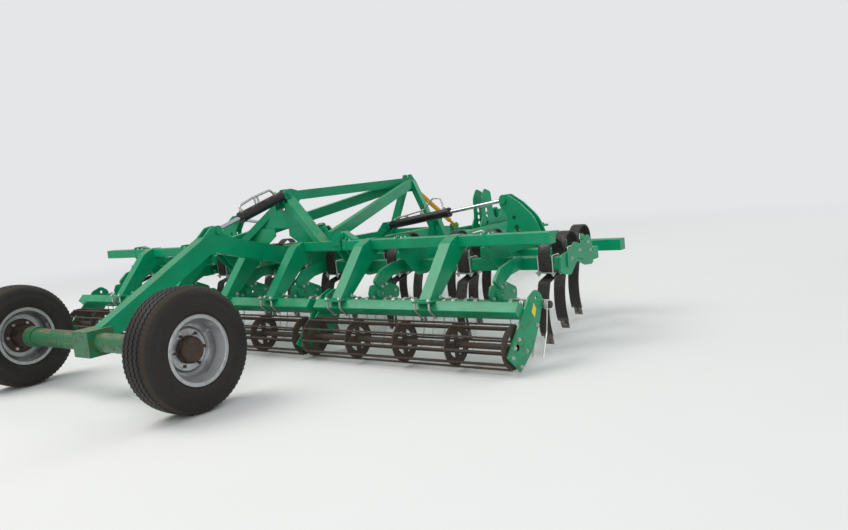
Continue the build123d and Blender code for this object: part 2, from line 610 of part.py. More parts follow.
def cylinder_parts(base, tip, barrel_r, bore_r, rod_r, barrel_end, rod_in):
    """A ram between two pins: the barrel with its eye on the base pin, and the rod with its eye."""
    a, b = Vector(*base), Vector(*tip)
    way = b - a
    u = way / way.length
    across = Vector(0, 1, 0) if abs(u.Y) < 0.5 else Vector(1, 0, 0)

    def at(d):
        return tuple(a + u * d)

    def eye(centre, radius, width):
        c = Vector(*centre)
        return round_bar(tuple(c - across * width / 2), tuple(c + across * width / 2), radius)

    barrel = round_bar(at(50), at(barrel_end), barrel_r) + round_bar(at(0), at(60), EYE_R - 10)
    barrel = barrel + eye(base, EYE_R, EYE_W)
    barrel = barrel + round_bar(at(barrel_end - 30), at(barrel_end + 6), barrel_r + 4)
    barrel = barrel - round_bar(at(66), at(barrel_end - 30), bore_r)
    barrel = barrel - round_bar(at(66), at(barrel_end + 20), rod_r + PIN_CLEAR)
    barrel = barrel - eye(base, EYE_PIN_R + PIN_CLEAR, EYE_W + 20)
    rod = round_bar(at(way.length - rod_in), at(way.length), rod_r) + eye(tip, EYE_R, EYE_W)
    return barrel, rod


def lift_cylinder():
    """The lift ram between the rear tower and the arm's crest."""
    return cylinder_parts((LIFT_BASE[0], 0, LIFT_BASE[1]), (LIFT_PIN[0], 0, LIFT_PIN[1]),
                          LIFT_BARREL_R, LIFT_BORE_R, LIFT_ROD_R, LIFT_BARREL_END, LIFT_ROD_IN)


def fold_cylinder():
    """The left fold ram between the centre frame and the wing's horn."""
    return cylinder_parts((FOLD_X, FOLD_BASE[0], FOLD_BASE[1]), (FOLD_X, FOLD_PIN[0], FOLD_PIN[1]),
                          FOLD_BARREL_R, FOLD_BORE_R, FOLD_ROD_R, FOLD_BARREL_END, FOLD_ROD_IN)


def fold_brackets():
    """Twin lugs and pins for the fold rams' base eyes, on the spines."""
    y, z = FOLD_BASE
    pieces = []
    for s in (-1, 1):
        x = FOLD_X + s * (EYE_W / 2 + SIDE_CLEAR + PLATE / 2)
        pieces.append(crosswise_plate(
            ((SPINE_Y - 30, SPINE_TOP), (SPINE_Y + 40, SPINE_TOP), (y + 36, z - 20), (y + 30, z + 34),
             (y - 30, z + 34)), (0, 20, 20, 24, 30), x, PLATE))
    pieces.append(round_bar((FOLD_X - EYE_W / 2 - 26, y, z), (FOLD_X + EYE_W / 2 + 26, y, z), EYE_PIN_R))
    left = fused(pieces)
    return [left, mirror(left, about=Plane.XZ)]


def wing_bars():
    """The left wing's three toolbars, two rails on top, the horn's seat and the end plates."""
    pieces = [toolbar(x, HINGE_OUT, HALF_WIDTH) for x in ROW_X]
    for y in WING_RAIL_Y:
        pieces.append(block(ROW_X[0] - BAR / 2, ROW_X[2] + BAR / 2, y - RAIL / 2, y + RAIL / 2,
                            BAR_TOP, BAR_TOP + RAIL))
    pieces.append(block(FOLD_X - 45, FOLD_X + 45, WING_RAIL_Y[0], WING_RAIL_Y[1], BAR_TOP, BAR_TOP + RAIL))
    outline = ((ROW_X[0] - 95, BAR_Z - 60), (ROW_X[0] - 60, BAR_Z + 60), (ROW_X[0] + 60, BAR_Z + 70),
               (ROW_X[0] + 200, BAR_Z + 40), (ROW_X[0] + 330, BAR_Z + 70), (ROW_X[0] + 450, BAR_Z + 20),
               (ROW_X[0] + 420, BAR_Z - 70), (ROW_X[0] + 300, BAR_Z - 60), (ROW_X[0] + 170, BAR_Z - 10),
               (ROW_X[0] + 60, BAR_Z - 95))
    pieces.append(lengthwise_plate(outline, (20, 40, 40, 60, 40, 40, 40, 40, 60, 40),
                                   HALF_WIDTH + PLATE / 2, PLATE))
    knuckle = wing_knuckle(HINGE_X[1])
    return fused(pieces + [knuckle])


def wing_rear_beam():
    """The left wing's length of the rear cross beam with its fins, roller arms and rear knuckle."""
    beam = block(BEAM_X - BEAM / 2, BEAM_X + BEAM / 2, HINGE_OUT, HALF_WIDTH, BEAM_Z - BEAM / 2, BEAM_Z + BEAM / 2)
    pieces = [fillet(beam.edges().filter_by(Axis.Y), 8)]
    pieces.extend(fin(y) for y in WING_FIN_Y)
    pieces.extend(roller_arm(y) for y in ARM_WING_Y)
    pieces.append(wing_knuckle(HINGE_X[0]))
    return fused(pieces) - wing_bars()


def horn():
    """Twin curved horn plates on the left wing, leaning inboard, with a boss round the ram's pin."""
    y, z = FOLD_PIN
    base = BAR_TOP + RAIL
    outline = ((y - 40, base), (y + 330, base), (y + 270, base + 150), (y + 150, z - 30), (y + 40, z + 44),
               (y - 34, z + 44), (y - 36, z - 40), (y + 30, z - 130), (y + 20, base + 60))
    pieces = []
    for s in (-1, 1):
        x = FOLD_X + s * (HORN_GAP / 2 + HORN_T / 2)
        plate = crosswise_plate(outline, (0, 0, 260, 160, 50, 34, 34, 80, 40), x, HORN_T)
        plate = plate - round_bar((x - 30, y + 110, base + 62), (x + 30, y + 110, base + 62), 30)
        plate = plate - round_bar((x - 30, y + 90, base + 150), (x + 30, y + 90, base + 150), 16)
        outside = FOLD_X + s * (HORN_GAP / 2 + HORN_T)
        plate = plate + round_bar((min(outside, outside + s * 14), y, z), (max(outside, outside + s * 14), y, z), 30)
        pieces.append(plate)
    return pieces


def band_solid(centre, radius, a0, a1):
    """A stretch of flat band bent round a cross axis between two angles, in degrees."""
    inner, outer = radius - BAND_T / 2, radius + BAND_T / 2

    def at(r, degrees):
        t = math.radians(degrees)
        return (centre[0] + r * math.cos(t), -BAND / 2, centre[1] + r * math.sin(t))

    mid = (a0 + a1) / 2
    wire = Wire([
        Edge.make_three_point_arc(at(outer, a0), at(outer, mid), at(outer, a1)),
        Edge.make_line(at(outer, a1), at(inner, a1)),
        Edge.make_three_point_arc(at(inner, a1), at(inner, mid), at(inner, a0)),
        Edge.make_line(at(inner, a0), at(outer, a0)),
    ])
    return Solid.extrude(Face(wire), Vector(0, BAND, 0))


def tine():
    """One tine at the machine's centre line with its bar at x = 0."""
    low = BAR_LOW - BAND_T / 2
    centre = (BAR / 2, low + LOOP_R)
    a = math.radians(SHANK_START)
    shank_centre = (centre[0] + (LOOP_R - SHANK_R) * math.cos(a), centre[1] + (LOOP_R - SHANK_R) * math.sin(a))
    end = math.pi + math.asin((shank_centre[1] - TIP_Z) / SHANK_R)
    clamp = block(-BAR / 2, BAR / 2, -BAND / 2, BAND / 2, low - BAND_T / 2, low + BAND_T / 2)
    loop = band_solid(centre, LOOP_R, -90, SHANK_START)
    shank = band_solid(shank_centre, SHANK_R, SHANK_START, math.degrees(end))
    body = clamp + loop + shank
    tx = shank_centre[0] + SHANK_R * math.cos(end)
    tz = shank_centre[1] + SHANK_R * math.sin(end)
    slope = end + math.pi / 2
    dx, dz = math.cos(slope), math.sin(slope)
    nx, nz = -dz, dx
    point = lengthwise_plate(
        ((tx - 40 * dx - nx * BAND_T / 2, tz - 40 * dz - nz * BAND_T / 2),
         (tx + POINT_L * dx - nx * BAND_T / 2, tz + POINT_L * dz - nz * BAND_T / 2),
         (tx + 10 * dx + nx * (BAND_T / 2 + POINT_T), tz + 10 * dz + nz * (BAND_T / 2 + POINT_T)),
         (tx - 60 * dx + nx * (BAND_T / 2 + POINT_T), tz - 60 * dz + nz * (BAND_T / 2 + POINT_T))),
        (0, 0, 0, 0), 0, BAND - 16)
    return body + point


def tines_at(places):
    """Copies of the tine at (x, y) places."""
    one = tine()
    return [Pos(x, y, 0) * one for x, y in places]


def centre_tines():
    """The centre frame's tines on both sides."""
    places = [(x, s * y) for x, (near, _) in zip(ROW_X, TINE_Y) for y in near for _, s in SIDES]
    return tines_at(places)


def wing_tines():
    """The left wing's tines."""
    places = [(x, y) for x, (_, far) in zip(ROW_X, TINE_Y) for y in far]
    return tines_at(places)


def comb_arm(y):
    """A curved arm from the rear toolbar down to a sector plate round the comb pipe."""
    bar_rear = ROW_X[0] - BAR / 2
    outline = ((bar_rear, BAR_Z + 40), (bar_rear - 60, BAR_Z + 42), (COMB_X + 150, BAR_Z - 10),
               (COMB_X + 50, COMB_Z + 130), (COMB_X - 44, COMB_Z + 80), (COMB_X - 50, COMB_Z - 20),
               (COMB_X - 20, COMB_Z - 46), (COMB_X + 50, COMB_Z - 36), (COMB_X + 90, COMB_Z + 30),
               (COMB_X + 130, COMB_Z + 100), (COMB_X + 240, BAR_Z - 60), (bar_rear, BAR_Z - 40))
    return lengthwise_plate(outline, (0, 20, 90, 40, 30, 20, 20, 20, 30, 60, 60, 0), y, 2 * PLATE)


def comb_bar(y0, y1, arms):
    """A length of comb pipe with its arms."""
    pipe = cross_pin(COMB_X, y0, y1, COMB_Z, COMB_R)
    pieces = [pipe] + [comb_arm(y) for y in arms]
    return fused(pieces)


def finger_pair():
    """Two bent prongs off a double coil that sits round the comb pipe."""
    pieces = []
    for s in (-1, 1):
        y = s * FINGER_GAP / 2
        coil = cross_pin(COMB_X, y - s * FINGER_COIL_W / 2, y + s * FINGER_COIL_W / 2, COMB_Z, FINGER_COIL_R)
        pieces.append(coil)
        knee = (COMB_X - FINGER_COIL_R - 4, y, 190)
        pieces.append(round_bar((COMB_X - FINGER_COIL_R + FINGER_R, y, COMB_Z), knee, FINGER_R))
        pieces.append(round_bar(knee, (COMB_X - 110, y, 34), FINGER_R))
        pieces.append(Pos(*knee) * Sphere(FINGER_R))
    pieces.append(cross_pin(COMB_X, -FINGER_GAP / 2, FINGER_GAP / 2, COMB_Z, COMB_R + 5))
    return fused(pieces) - cross_pin(COMB_X, -500, 500, COMB_Z, COMB_R)


def fingers(y0, y1, arms):
    """Finger pairs at an even pitch between y0 and y1, clear of the arms."""
    one = finger_pair()
    count = int((y1 - y0 - FINGER_GAP - FINGER_COIL_W) // FINGER_PITCH) + 1
    first = (y0 + y1) / 2 - FINGER_PITCH * (count - 1) / 2
    room = FINGER_GAP / 2 + FINGER_COIL_W / 2 + PLATE
    places = [first + FINGER_PITCH * k for k in range(count)]
    return [Pos(0, y, 0) * one for y in places if all(abs(y - a) > room for a in arms)]


def roller_end_plate(y):
    """A long plate from its rounded head over the carrier down past the roller's bearing."""
    outline = ((CARRIER_X + 170, CARRIER_Z + 108), (CARRIER_X + 30, CARRIER_Z + 62),
               (ROLLER_X - 150, ROLLER_Z - 16), (ROLLER_X + 30, 18), (CARRIER_X + 195, CARRIER_Z - 66),
               (CARRIER_X + 245, CARRIER_Z + 40))
    plate = lengthwise_plate(outline, (62, 60, 12, 12, 60, 60), y, PLATE)
    return plate - cross_pin(CARRIER_X + 158, y - 20, y + 20, CARRIER_Z + 40, 15)


def roller_carrier(y0, y1):
    """The carrying beam turned on its corner between two end plates with bearings inside them."""
    pieces = [carrier_beam(y0, y1)]
    for y, s in ((y0, 1), (y1, -1)):
        pieces.append(roller_end_plate(y - s * PLATE / 2))
    shape = fused(pieces)
    for y, s in ((y0, 1), (y1, -1)):
        shape = shape - cross_pin(ROLLER_X, y - s * (PLATE + 5), y + s * 5, ROLLER_Z, ROLLER_SHAFT_R + PIN_CLEAR)
    return shape


def roller(y0, y1):
    """A bar roller between two end plates: discs on a shaft with round bars let into their rims."""
    a, b = y0 + END_CLEAR, y1 - END_CLEAR
    count = max(2, round((b - a) / DISC_PITCH) + 1)
    step = (b - a - ROLLER_DISC) / (count - 1)
    pieces = [cross_pin(ROLLER_X, y0 - PLATE, y1 + PLATE, ROLLER_Z, ROLLER_SHAFT_R)]
    for k in range(count):
        y = a + step * k
        disc = ring((ROLLER_X, y, ROLLER_Z), (ROLLER_X, y + ROLLER_DISC, ROLLER_Z), ROLLER_R - ROLLER_BAR / 2, 84)
        spoke = block(ROLLER_X - 90, ROLLER_X + 90, y, y + ROLLER_DISC, ROLLER_Z - 22, ROLLER_Z + 22)
        spoke_up = block(ROLLER_X - 22, ROLLER_X + 22, y, y + ROLLER_DISC, ROLLER_Z - 90, ROLLER_Z + 90)
        pieces.extend((disc, spoke, spoke_up))
    for k in range(ROLLER_BARS):
        t = math.tau * k / ROLLER_BARS
        x = ROLLER_X + (ROLLER_R - ROLLER_BAR / 2) * math.cos(t)
        z = ROLLER_Z + (ROLLER_R - ROLLER_BAR / 2) * math.sin(t)
        pieces.append(cross_pin(x, a, b, z, ROLLER_BAR / 2))
    return fused(pieces)


ROLLER_CENTRE = HINGE_Y - 34
ROLLER_WING = HINGE_Y + 34


def write(name, shape):
    """Write one sub-part, moved so that the machine is centred over its origin."""
    solids = []
    for piece in shape if isinstance(shape, (list, tuple)) else [shape]:
        solids.extend(piece.solids())
    moved = [Pos(-DATUM_X, 0, 0) * solid for solid in solids]
    export_step(moved[0] if len(moved) == 1 else Compound(children=moved), f"parts/{name}.step")


os.makedirs("parts", exist_ok=True)

write("centre_bars", centre_bars())
write("arm_pin", arm_pin())
write("rear_beam_centre", rear_beam_centre())
write("front_hinge_lugs", front_hinge_centre())
write("rear_tower", rear_tower())
write("mast", mast())
write("drawbar", drawbar())
write("turnbuckle", turnbuckle())
write("fold_brackets", fold_brackets())
write("tines_centre", centre_tines())
write("comb_bar_centre", comb_bar(-HINGE_IN + 20, HINGE_IN - 20, [s * COMB_ARM_Y[0] for _, s in SIDES]))
write("fingers_centre", fingers(-HINGE_IN + 24, HINGE_IN - 24, [s * COMB_ARM_Y[0] for _, s in SIDES]))
write("roller_carrier_centre", roller_carrier(-ROLLER_CENTRE, ROLLER_CENTRE))
write("roller_centre", roller(-ROLLER_CENTRE, ROLLER_CENTRE))
write("parking_stand", parking_stand())
write("hitch_yoke", hitch_yoke())
write("lift_arm", lift_arm())
write("axle_tube", axle_tube())
lift_barrel, lift_rod = lift_cylinder()
write("lift_barrel", lift_barrel)
write("lift_rod", lift_rod)
fold_barrel, fold_rod = fold_cylinder()
wing_pieces = {
    "wing_bars": [wing_bars()],
    "wing_rear_beam": [wing_rear_beam()],
    "wing_horn": horn(),
    "tines": wing_tines(),
    "comb_bar": [comb_bar(COMB_INNER_Y, COMB_END_Y, COMB_ARM_Y[1:])],
    "fingers": fingers(COMB_INNER_Y + 6, COMB_END_Y - 6, COMB_ARM_Y[1:]),
    "roller_carrier": [roller_carrier(ROLLER_WING, ROLLER_END_Y)],
    "roller": [roller(ROLLER_WING, ROLLER_END_Y)],
    "fold_barrel": [fold_barrel],
    "fold_rod": [fold_rod],
}
for side, s in SIDES:
    for name, solids in wing_pieces.items():
        write(f"{name}_{side}", [on_side(solid, s) for solid in solids])
    write(f"tyre_{side}", tyre(s))
    write(f"rim_{side}", rim(s))
    write(f"hub_{side}", hub(s))
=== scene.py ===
import json
import logging
import math
from dataclasses import dataclass, field
from enum import Enum

import bmesh
import bpy
from mathutils import Matrix, Vector

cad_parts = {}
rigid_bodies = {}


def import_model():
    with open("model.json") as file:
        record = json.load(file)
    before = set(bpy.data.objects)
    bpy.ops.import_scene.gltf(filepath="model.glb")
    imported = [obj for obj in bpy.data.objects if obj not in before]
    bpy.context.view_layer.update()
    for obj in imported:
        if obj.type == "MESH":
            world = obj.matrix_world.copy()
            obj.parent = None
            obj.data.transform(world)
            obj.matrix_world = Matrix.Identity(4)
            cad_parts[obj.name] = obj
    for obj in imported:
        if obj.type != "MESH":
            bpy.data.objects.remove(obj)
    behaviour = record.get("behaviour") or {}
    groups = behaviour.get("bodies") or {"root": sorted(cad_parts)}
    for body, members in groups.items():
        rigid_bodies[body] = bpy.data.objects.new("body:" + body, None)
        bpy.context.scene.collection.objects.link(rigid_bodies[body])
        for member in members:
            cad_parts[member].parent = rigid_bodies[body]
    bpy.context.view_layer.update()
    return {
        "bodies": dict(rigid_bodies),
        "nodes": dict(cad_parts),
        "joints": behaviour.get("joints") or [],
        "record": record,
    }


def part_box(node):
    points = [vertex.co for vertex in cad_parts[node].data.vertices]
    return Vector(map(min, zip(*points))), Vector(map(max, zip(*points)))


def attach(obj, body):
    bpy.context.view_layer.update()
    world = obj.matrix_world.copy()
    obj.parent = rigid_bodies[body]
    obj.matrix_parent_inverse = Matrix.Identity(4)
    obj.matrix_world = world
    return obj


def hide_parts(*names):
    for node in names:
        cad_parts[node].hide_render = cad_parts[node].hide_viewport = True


# Looks of a trailed folding cultivator, dressed round its CAD frame.
# Lengths are in metres: +X is the way it travels, +Y its left side, +Z up.

LOG = logging.getLogger("cultivator")
Pair = tuple[float, float]
Point = tuple[float, float, float]
Places = tuple[tuple[float, ...], ...]
Colour = tuple[float, float, float]
Socket = bpy.types.NodeSocket
ENDS: Pair = (-1.0, 1.0)
SIDES: tuple[tuple[str, float], ...] = (("left", 1.0), ("right", -1.0))
SECTIONS: tuple[tuple[str, str], ...] = (
    ("centre", "main_frame"), ("left", "wing_left"), ("right", "wing_right"))


class Axis(Enum):
    """The three directions that a bolt, nut or pin can point along."""

    LENGTH = Vector((1, 0, 0))
    WIDTH = Vector((0, 1, 0))
    UP = Vector((0, 0, 1))


class Slot(Enum):
    """Finishes that a new piece can take, by the record's slot names."""

    PAINT = "frame_paint"
    YELLOW = "yellow_paint"
    RAM = "ram_black"
    CHROME = "chrome"
    SPRING = "spring_steel"
    ROLLER = "roller_steel"
    ZINC = "zinc"
    RIM = "rim_silver"
    HUB = "hub_brown"
    TYRE = "tyre"


def screen(red: int, green: int, blue: int) -> Colour:
    """Turn a colour as it looks on a screen into the renderer's linear values.

    Args:
        red: Red from 0 to 255.
        green: Green from 0 to 255.
        blue: Blue from 0 to 255.

    Returns:
        The three linear values.
    """
    def linear(value: int) -> float:
        """One channel, by the screen's own curve."""
        part = value / 255
        return part / 12.92 if part <= 0.04045 else ((part + 0.055) / 1.055) ** 2.4
    return (linear(red), linear(green), linear(blue))


EARTH = screen(104, 80, 60)
DRY_EARTH = screen(142, 118, 94)
BARE_METAL = screen(62, 58, 52)
WORN_STEEL = screen(150, 146, 140)


class Sheet:
    """One material's node tree, built up by short calls."""

    def __init__(self, name: str) -> None:
        """Start an empty material with a principled shader.

        Args:
            name: The material's name.
        """
        self.material = bpy.data.materials.new(name)
        self.material.use_nodes = True
        self.tree = self.material.node_tree
        self.shader = self.tree.nodes["Principled BSDF"]
        self.place = self.tree.nodes.new("ShaderNodeTexCoord").outputs

    def feed(self, target: Socket, value: Socket | float | tuple) -> None:
        """Link an input to a socket, or set it to a plain value.

        Args:
            target: The input.
            value: What it gets.
        """
        if isinstance(value, Socket):
            self.tree.links.new(value, target)
        else:
            target.default_value = value

    def node(self, kind: str, inputs: dict[str | int, Socket | float | tuple],
             **settings: str) -> bpy.types.Node:
        """Add a node with its settings and inputs.

        Args:
            kind: The node's type, without its prefix.
            inputs: What each input gets, by its name or number.
            settings: The node's own options.

        Returns:
            The node.
        """
        node = self.tree.nodes.new("ShaderNode" + kind)
        for name, value in settings.items():
            setattr(node, name, value)
        for key, value in inputs.items():
            self.feed(node.inputs[key], value)
        return node

    def noise(self, scale: float, detail: float = 4.0, rough: float = 0.55,
              stretch: Point = (1.0, 1.0, 1.0)) -> Socket:
        """Cloudy noise over the object's own coordinates.

        Args:
            scale: Number of clouds to a metre.
            detail: Octaves of finer noise.
            rough: Weight of the finer noise.
            stretch: Factor on each axis before the noise.

        Returns:
            The noise value.
        """
        mapped = self.node("Mapping", {"Vector": self.place["Object"], "Scale": stretch})
        return self.node("TexNoise", {"Vector": mapped.outputs["Vector"], "Scale": scale, "Detail": detail,
                                      "Roughness": rough}).outputs[0]

    def cells(self, scale: float) -> Socket:
        """Distance to scattered points, so many to a metre, for specks and chips."""
        return self.node("TexVoronoi", {"Vector": self.place["Object"], "Scale": scale}).outputs["Distance"]

    def band(self, value: Socket, low: float, high: float, bottom: float = 0.0, top: float = 1.0) -> Socket:
        """Turn what lies from low to high into what lies from bottom to top, clamped and eased."""
        marks = {"Value": value, "From Min": low, "From Max": high, "To Min": bottom, "To Max": top}
        return self.node("MapRange", marks, interpolation_type="SMOOTHSTEP").outputs["Result"]

    def plus(self, a: Socket, b: Socket | float) -> Socket:
        """Add two values."""
        return self.node("Math", {0: a, 1: b}, operation="ADD").outputs[0]

    def times(self, a: Socket, b: Socket | float) -> Socket:
        """Multiply two values."""
        return self.node("Math", {0: a, 1: b}, operation="MULTIPLY").outputs[0]

    def most(self, a: Socket, b: Socket | float) -> Socket:
        """Take the larger of two values."""
        return self.node("Math", {0: a, 1: b}, operation="MAXIMUM").outputs[0]

    def facing_up(self) -> Socket:
        """How far the surface faces up, as the piece stands at rest."""
        return self.node("SeparateXYZ", {0: self.place["Normal"]}).outputs["Z"]

    def height(self) -> Socket:
        """Height above the floor, as the piece stands at rest."""
        return self.node("SeparateXYZ", {0: self.place["Object"]}).outputs["Z"]

    def blend(self, amount: Socket, a: Colour | Socket, b: Colour | Socket) -> Socket:
        """Mix two colours, written or linked, by the share of the second."""
        first, second = ((*colour, 1.0) if isinstance(colour, tuple) else colour for colour in (a, b))
        return self.node("Mix", {0: amount, 6: first, 7: second}, data_type="RGBA").outputs[2]

    def relief(self, height: Socket, depth: float, strength: float) -> None:
        """Add bump from a height value, its depth in metres."""
        bump = self.node("Bump", {"Height": height, "Distance": depth, "Strength": strength})
        self.feed(self.shader.inputs["Normal"], bump.outputs["Normal"])

    def surface(self, **values: Socket | float) -> None:
        """Link or set the shader's inputs, by names with spaces as underscores."""
        for name, value in values.items():
            self.feed(self.shader.inputs[name.replace("_", " ")], value)


@dataclass(frozen=True)
class Paint:
    """Gloss paint with dust on its upper faces, splashes low down and small chips."""

    name: str
    colour: Colour
    faded: Colour
    dust: float = 0.55
    splash_top: float = 0.5
    splash_fade: float = 0.35

    def material(self) -> bpy.types.Material:
        """Build the paint.

        Returns:
            The finished material.
        """
        sheet = Sheet(self.name)
        coat = sheet.blend(sheet.band(sheet.noise(5.0, 6.0), 0.35, 0.7), self.colour, self.faded)
        chipped = sheet.times(sheet.band(sheet.cells(34.0), 0.13, 0.09),
                              sheet.band(sheet.noise(9.0, 3.0), 0.55, 0.6))
        coat = sheet.blend(chipped, coat, BARE_METAL)
        settled = sheet.times(sheet.band(sheet.facing_up(), 0.55, 0.98),
                              sheet.band(sheet.noise(14.0, 9.0, 0.68), 0.42, 0.66, top=self.dust))
        coat = sheet.blend(settled, coat, DRY_EARTH)
        low = sheet.band(sheet.height(), self.splash_top, self.splash_top - self.splash_fade)
        splashed = sheet.times(low, sheet.band(sheet.noise(26.0, 9.0, 0.7), 0.47, 0.66, top=0.8))
        coat = sheet.blend(splashed, coat, EARTH)
        specks = sheet.times(sheet.band(sheet.cells(120.0), 0.2, 0.14),
                             sheet.band(sheet.noise(11.0, 5.0), 0.5, 0.62, top=0.75))
        dirty = sheet.most(settled, sheet.most(splashed, specks))
        sheet.relief(sheet.plus(sheet.noise(60.0, 3.0), dirty), 0.0012, 0.35)
        sheet.surface(Base_Color=sheet.blend(specks, coat, EARTH),
                      Roughness=sheet.band(dirty, 0.0, 0.6, 0.3, 0.86),
                      Specular_IOR_Level=0.34, Coat_Weight=0.08, Coat_Roughness=0.15)
        return sheet.material


@dataclass(frozen=True)
class Metal:
    """Bare or plated metal with brushed roughness and grime."""

    name: str
    colour: Colour
    grime: Colour
    shine: float
    dull: float
    covered: float

    def material(self) -> bpy.types.Material:
        """Build the metal.

        Returns:
            The finished material.
        """
        sheet = Sheet(self.name)
        cloud = sheet.noise(22.0, 7.0, 0.65)
        fine = sheet.noise(90.0, 3.0, 0.5, stretch=(1.0, 1.0, 0.25))
        upward = sheet.times(sheet.band(sheet.facing_up(), 0.4, 1.0, top=self.covered),
                             sheet.band(cloud, 0.3, 0.6))
        dirty = sheet.most(sheet.band(cloud, 0.48, 0.68, top=self.covered), upward)
        sheet.relief(sheet.plus(fine, dirty), 0.0006, 0.4)
        sheet.surface(Base_Color=sheet.blend(dirty, self.colour, self.grime),
                      Roughness=sheet.band(sheet.plus(dirty, fine), 0.3, 1.2, self.shine, self.dull),
                      Metallic=sheet.band(dirty, 0.1, 0.7, 1.0, 0.0))
        return sheet.material


@dataclass(frozen=True)
class SoiledSteel:
    """Dark spring or roller steel, caked with soil low down and rubbed bright at its working edge."""

    name: str
    colour: Colour
    soil: Colour
    caked: float
    bright_below: float
    gloss: float

    def material(self) -> bpy.types.Material:
        """Build the steel.

        Returns:
            The finished material.
        """
        sheet = Sheet(self.name)
        lumps = sheet.noise(38.0, 9.0, 0.7)
        crust = sheet.times(sheet.band(lumps, 0.4, 0.62),
                            sheet.band(sheet.noise(7.0, 5.0, 0.6), 0.3, 0.62, 0.1, self.caked))
        paler = tuple(part * 1.8 + 0.004 for part in self.colour)
        base = sheet.blend(sheet.band(sheet.noise(60.0), 0.3, 0.7), self.colour, paler)
        worn = sheet.times(sheet.band(sheet.height(), self.bright_below, self.bright_below - 0.05, top=0.8),
                           sheet.band(lumps, 0.6, 0.42))
        sheet.relief(sheet.plus(crust, sheet.times(lumps, 0.4)), 0.004, 0.7)
        rough = sheet.plus(sheet.band(crust, 0.0, 0.5, self.gloss, 0.92), sheet.times(worn, -0.15))
        sheet.surface(Base_Color=sheet.blend(worn, sheet.blend(crust, base, self.soil), WORN_STEEL),
                      Roughness=rough, Metallic=worn)
        return sheet.material


@dataclass(frozen=True)
class Rubber:
    """Tyre rubber with dust that gathers in the grooves and on the walls."""

    name: str
    colour: Colour
    dust: Colour
    centre: Point
    groove_radius: float
    dusted: float

    def material(self) -> bpy.types.Material:
        """Build the rubber.

        Returns:
            The finished material.
        """
        sheet = Sheet(self.name)
        grains = sheet.noise(150.0, 4.0, 0.7)
        walls = sheet.times(sheet.band(sheet.noise(9.0, 8.0, 0.66), 0.36, 0.68, 0.12, self.dusted),
                            sheet.band(grains, 0.3, 0.62, bottom=0.45))
        lying = sheet.most(walls, self.in_grooves(sheet))
        sheet.relief(sheet.plus(grains, lying), 0.0009, 0.45)
        sheet.surface(Base_Color=sheet.blend(lying, self.colour, self.dust),
                      Roughness=sheet.band(lying, 0.0, 0.7, 0.55, 0.95), Specular_IOR_Level=0.35)
        return sheet.material

    def in_grooves(self, sheet: Sheet) -> Socket:
        """Dust below the tread's face, by the distance from the wheel's axis.

        Args:
            sheet: The material being built.

        Returns:
            The share of dust.
        """
        away = sheet.node("VectorMath", {0: sheet.place["Object"], 1: self.centre}, operation="SUBTRACT")
        flat = sheet.node("VectorMath", {0: away.outputs["Vector"], 1: (1.0, 0.0, 1.0)}, operation="MULTIPLY")
        radius = sheet.node("VectorMath", {0: flat.outputs["Vector"]}, operation="LENGTH").outputs["Value"]
        deep = sheet.band(radius, self.groove_radius, self.groove_radius - 0.005)
        tread = sheet.band(radius, self.groove_radius - 0.022, self.groove_radius - 0.014)
        return sheet.times(sheet.times(deep, tread), 0.75)


Finish = Paint | Metal | SoiledSteel | Rubber

FINISHES: dict[Slot, Finish] = {
    Slot.PAINT: Paint("frame_paint_finish", screen(0, 138, 94), screen(0, 150, 104)),
    Slot.YELLOW: Paint("yellow_paint_finish", screen(222, 158, 22), screen(206, 140, 30), 0.4, 0.0),
    Slot.RAM: Paint("ram_black_finish", screen(28, 28, 30), screen(40, 39, 38), 0.45, 0.0),
    Slot.CHROME: Metal("chrome_finish", screen(214, 216, 220), screen(120, 110, 98), 0.08, 0.3, 0.12),
    Slot.SPRING: SoiledSteel("spring_steel_finish", screen(30, 29, 29), screen(78, 62, 48), 0.55, 0.13, 0.36),
    Slot.ROLLER: SoiledSteel("roller_steel_finish", screen(44, 38, 34), screen(88, 68, 51), 0.95, 0.02, 0.5),
    Slot.ZINC: Metal("zinc_finish", screen(206, 208, 204), screen(130, 114, 94), 0.36, 0.6, 0.25),
    Slot.RIM: Metal("rim_silver_finish", screen(186, 188, 190), screen(128, 112, 92), 0.36, 0.62, 0.42),
    Slot.HUB: SoiledSteel("hub_brown_finish", screen(46, 33, 26), screen(84, 62, 45), 0.6, -1.0, 0.4),
}
MUDDY_PAINT = Paint("axle_paint_finish", screen(30, 112, 74), screen(44, 112, 74), 0.85, 0.8)
SIGN_PAINT = Paint("sign_yellow_finish", screen(236, 206, 26), screen(226, 176, 30), 0.1, 0.0)


class Paintbox:
    """Makes each finish once and hands it out."""

    def __init__(self) -> None:
        """Start with nothing mixed."""
        self.mixed: dict[str, bpy.types.Material] = {}

    def dress(self, thing: bpy.types.Object, finish: Slot | Finish) -> None:
        """Give an object one finish all over.

        Args:
            thing: The object.
            finish: A slot name or a finish of its own.
        """
        wanted = FINISHES[finish] if isinstance(finish, Slot) else finish
        if wanted.name not in self.mixed:
            self.mixed[wanted.name] = wanted.material()
        thing.data.materials.clear()
        thing.data.materials.append(self.mixed[wanted.name])


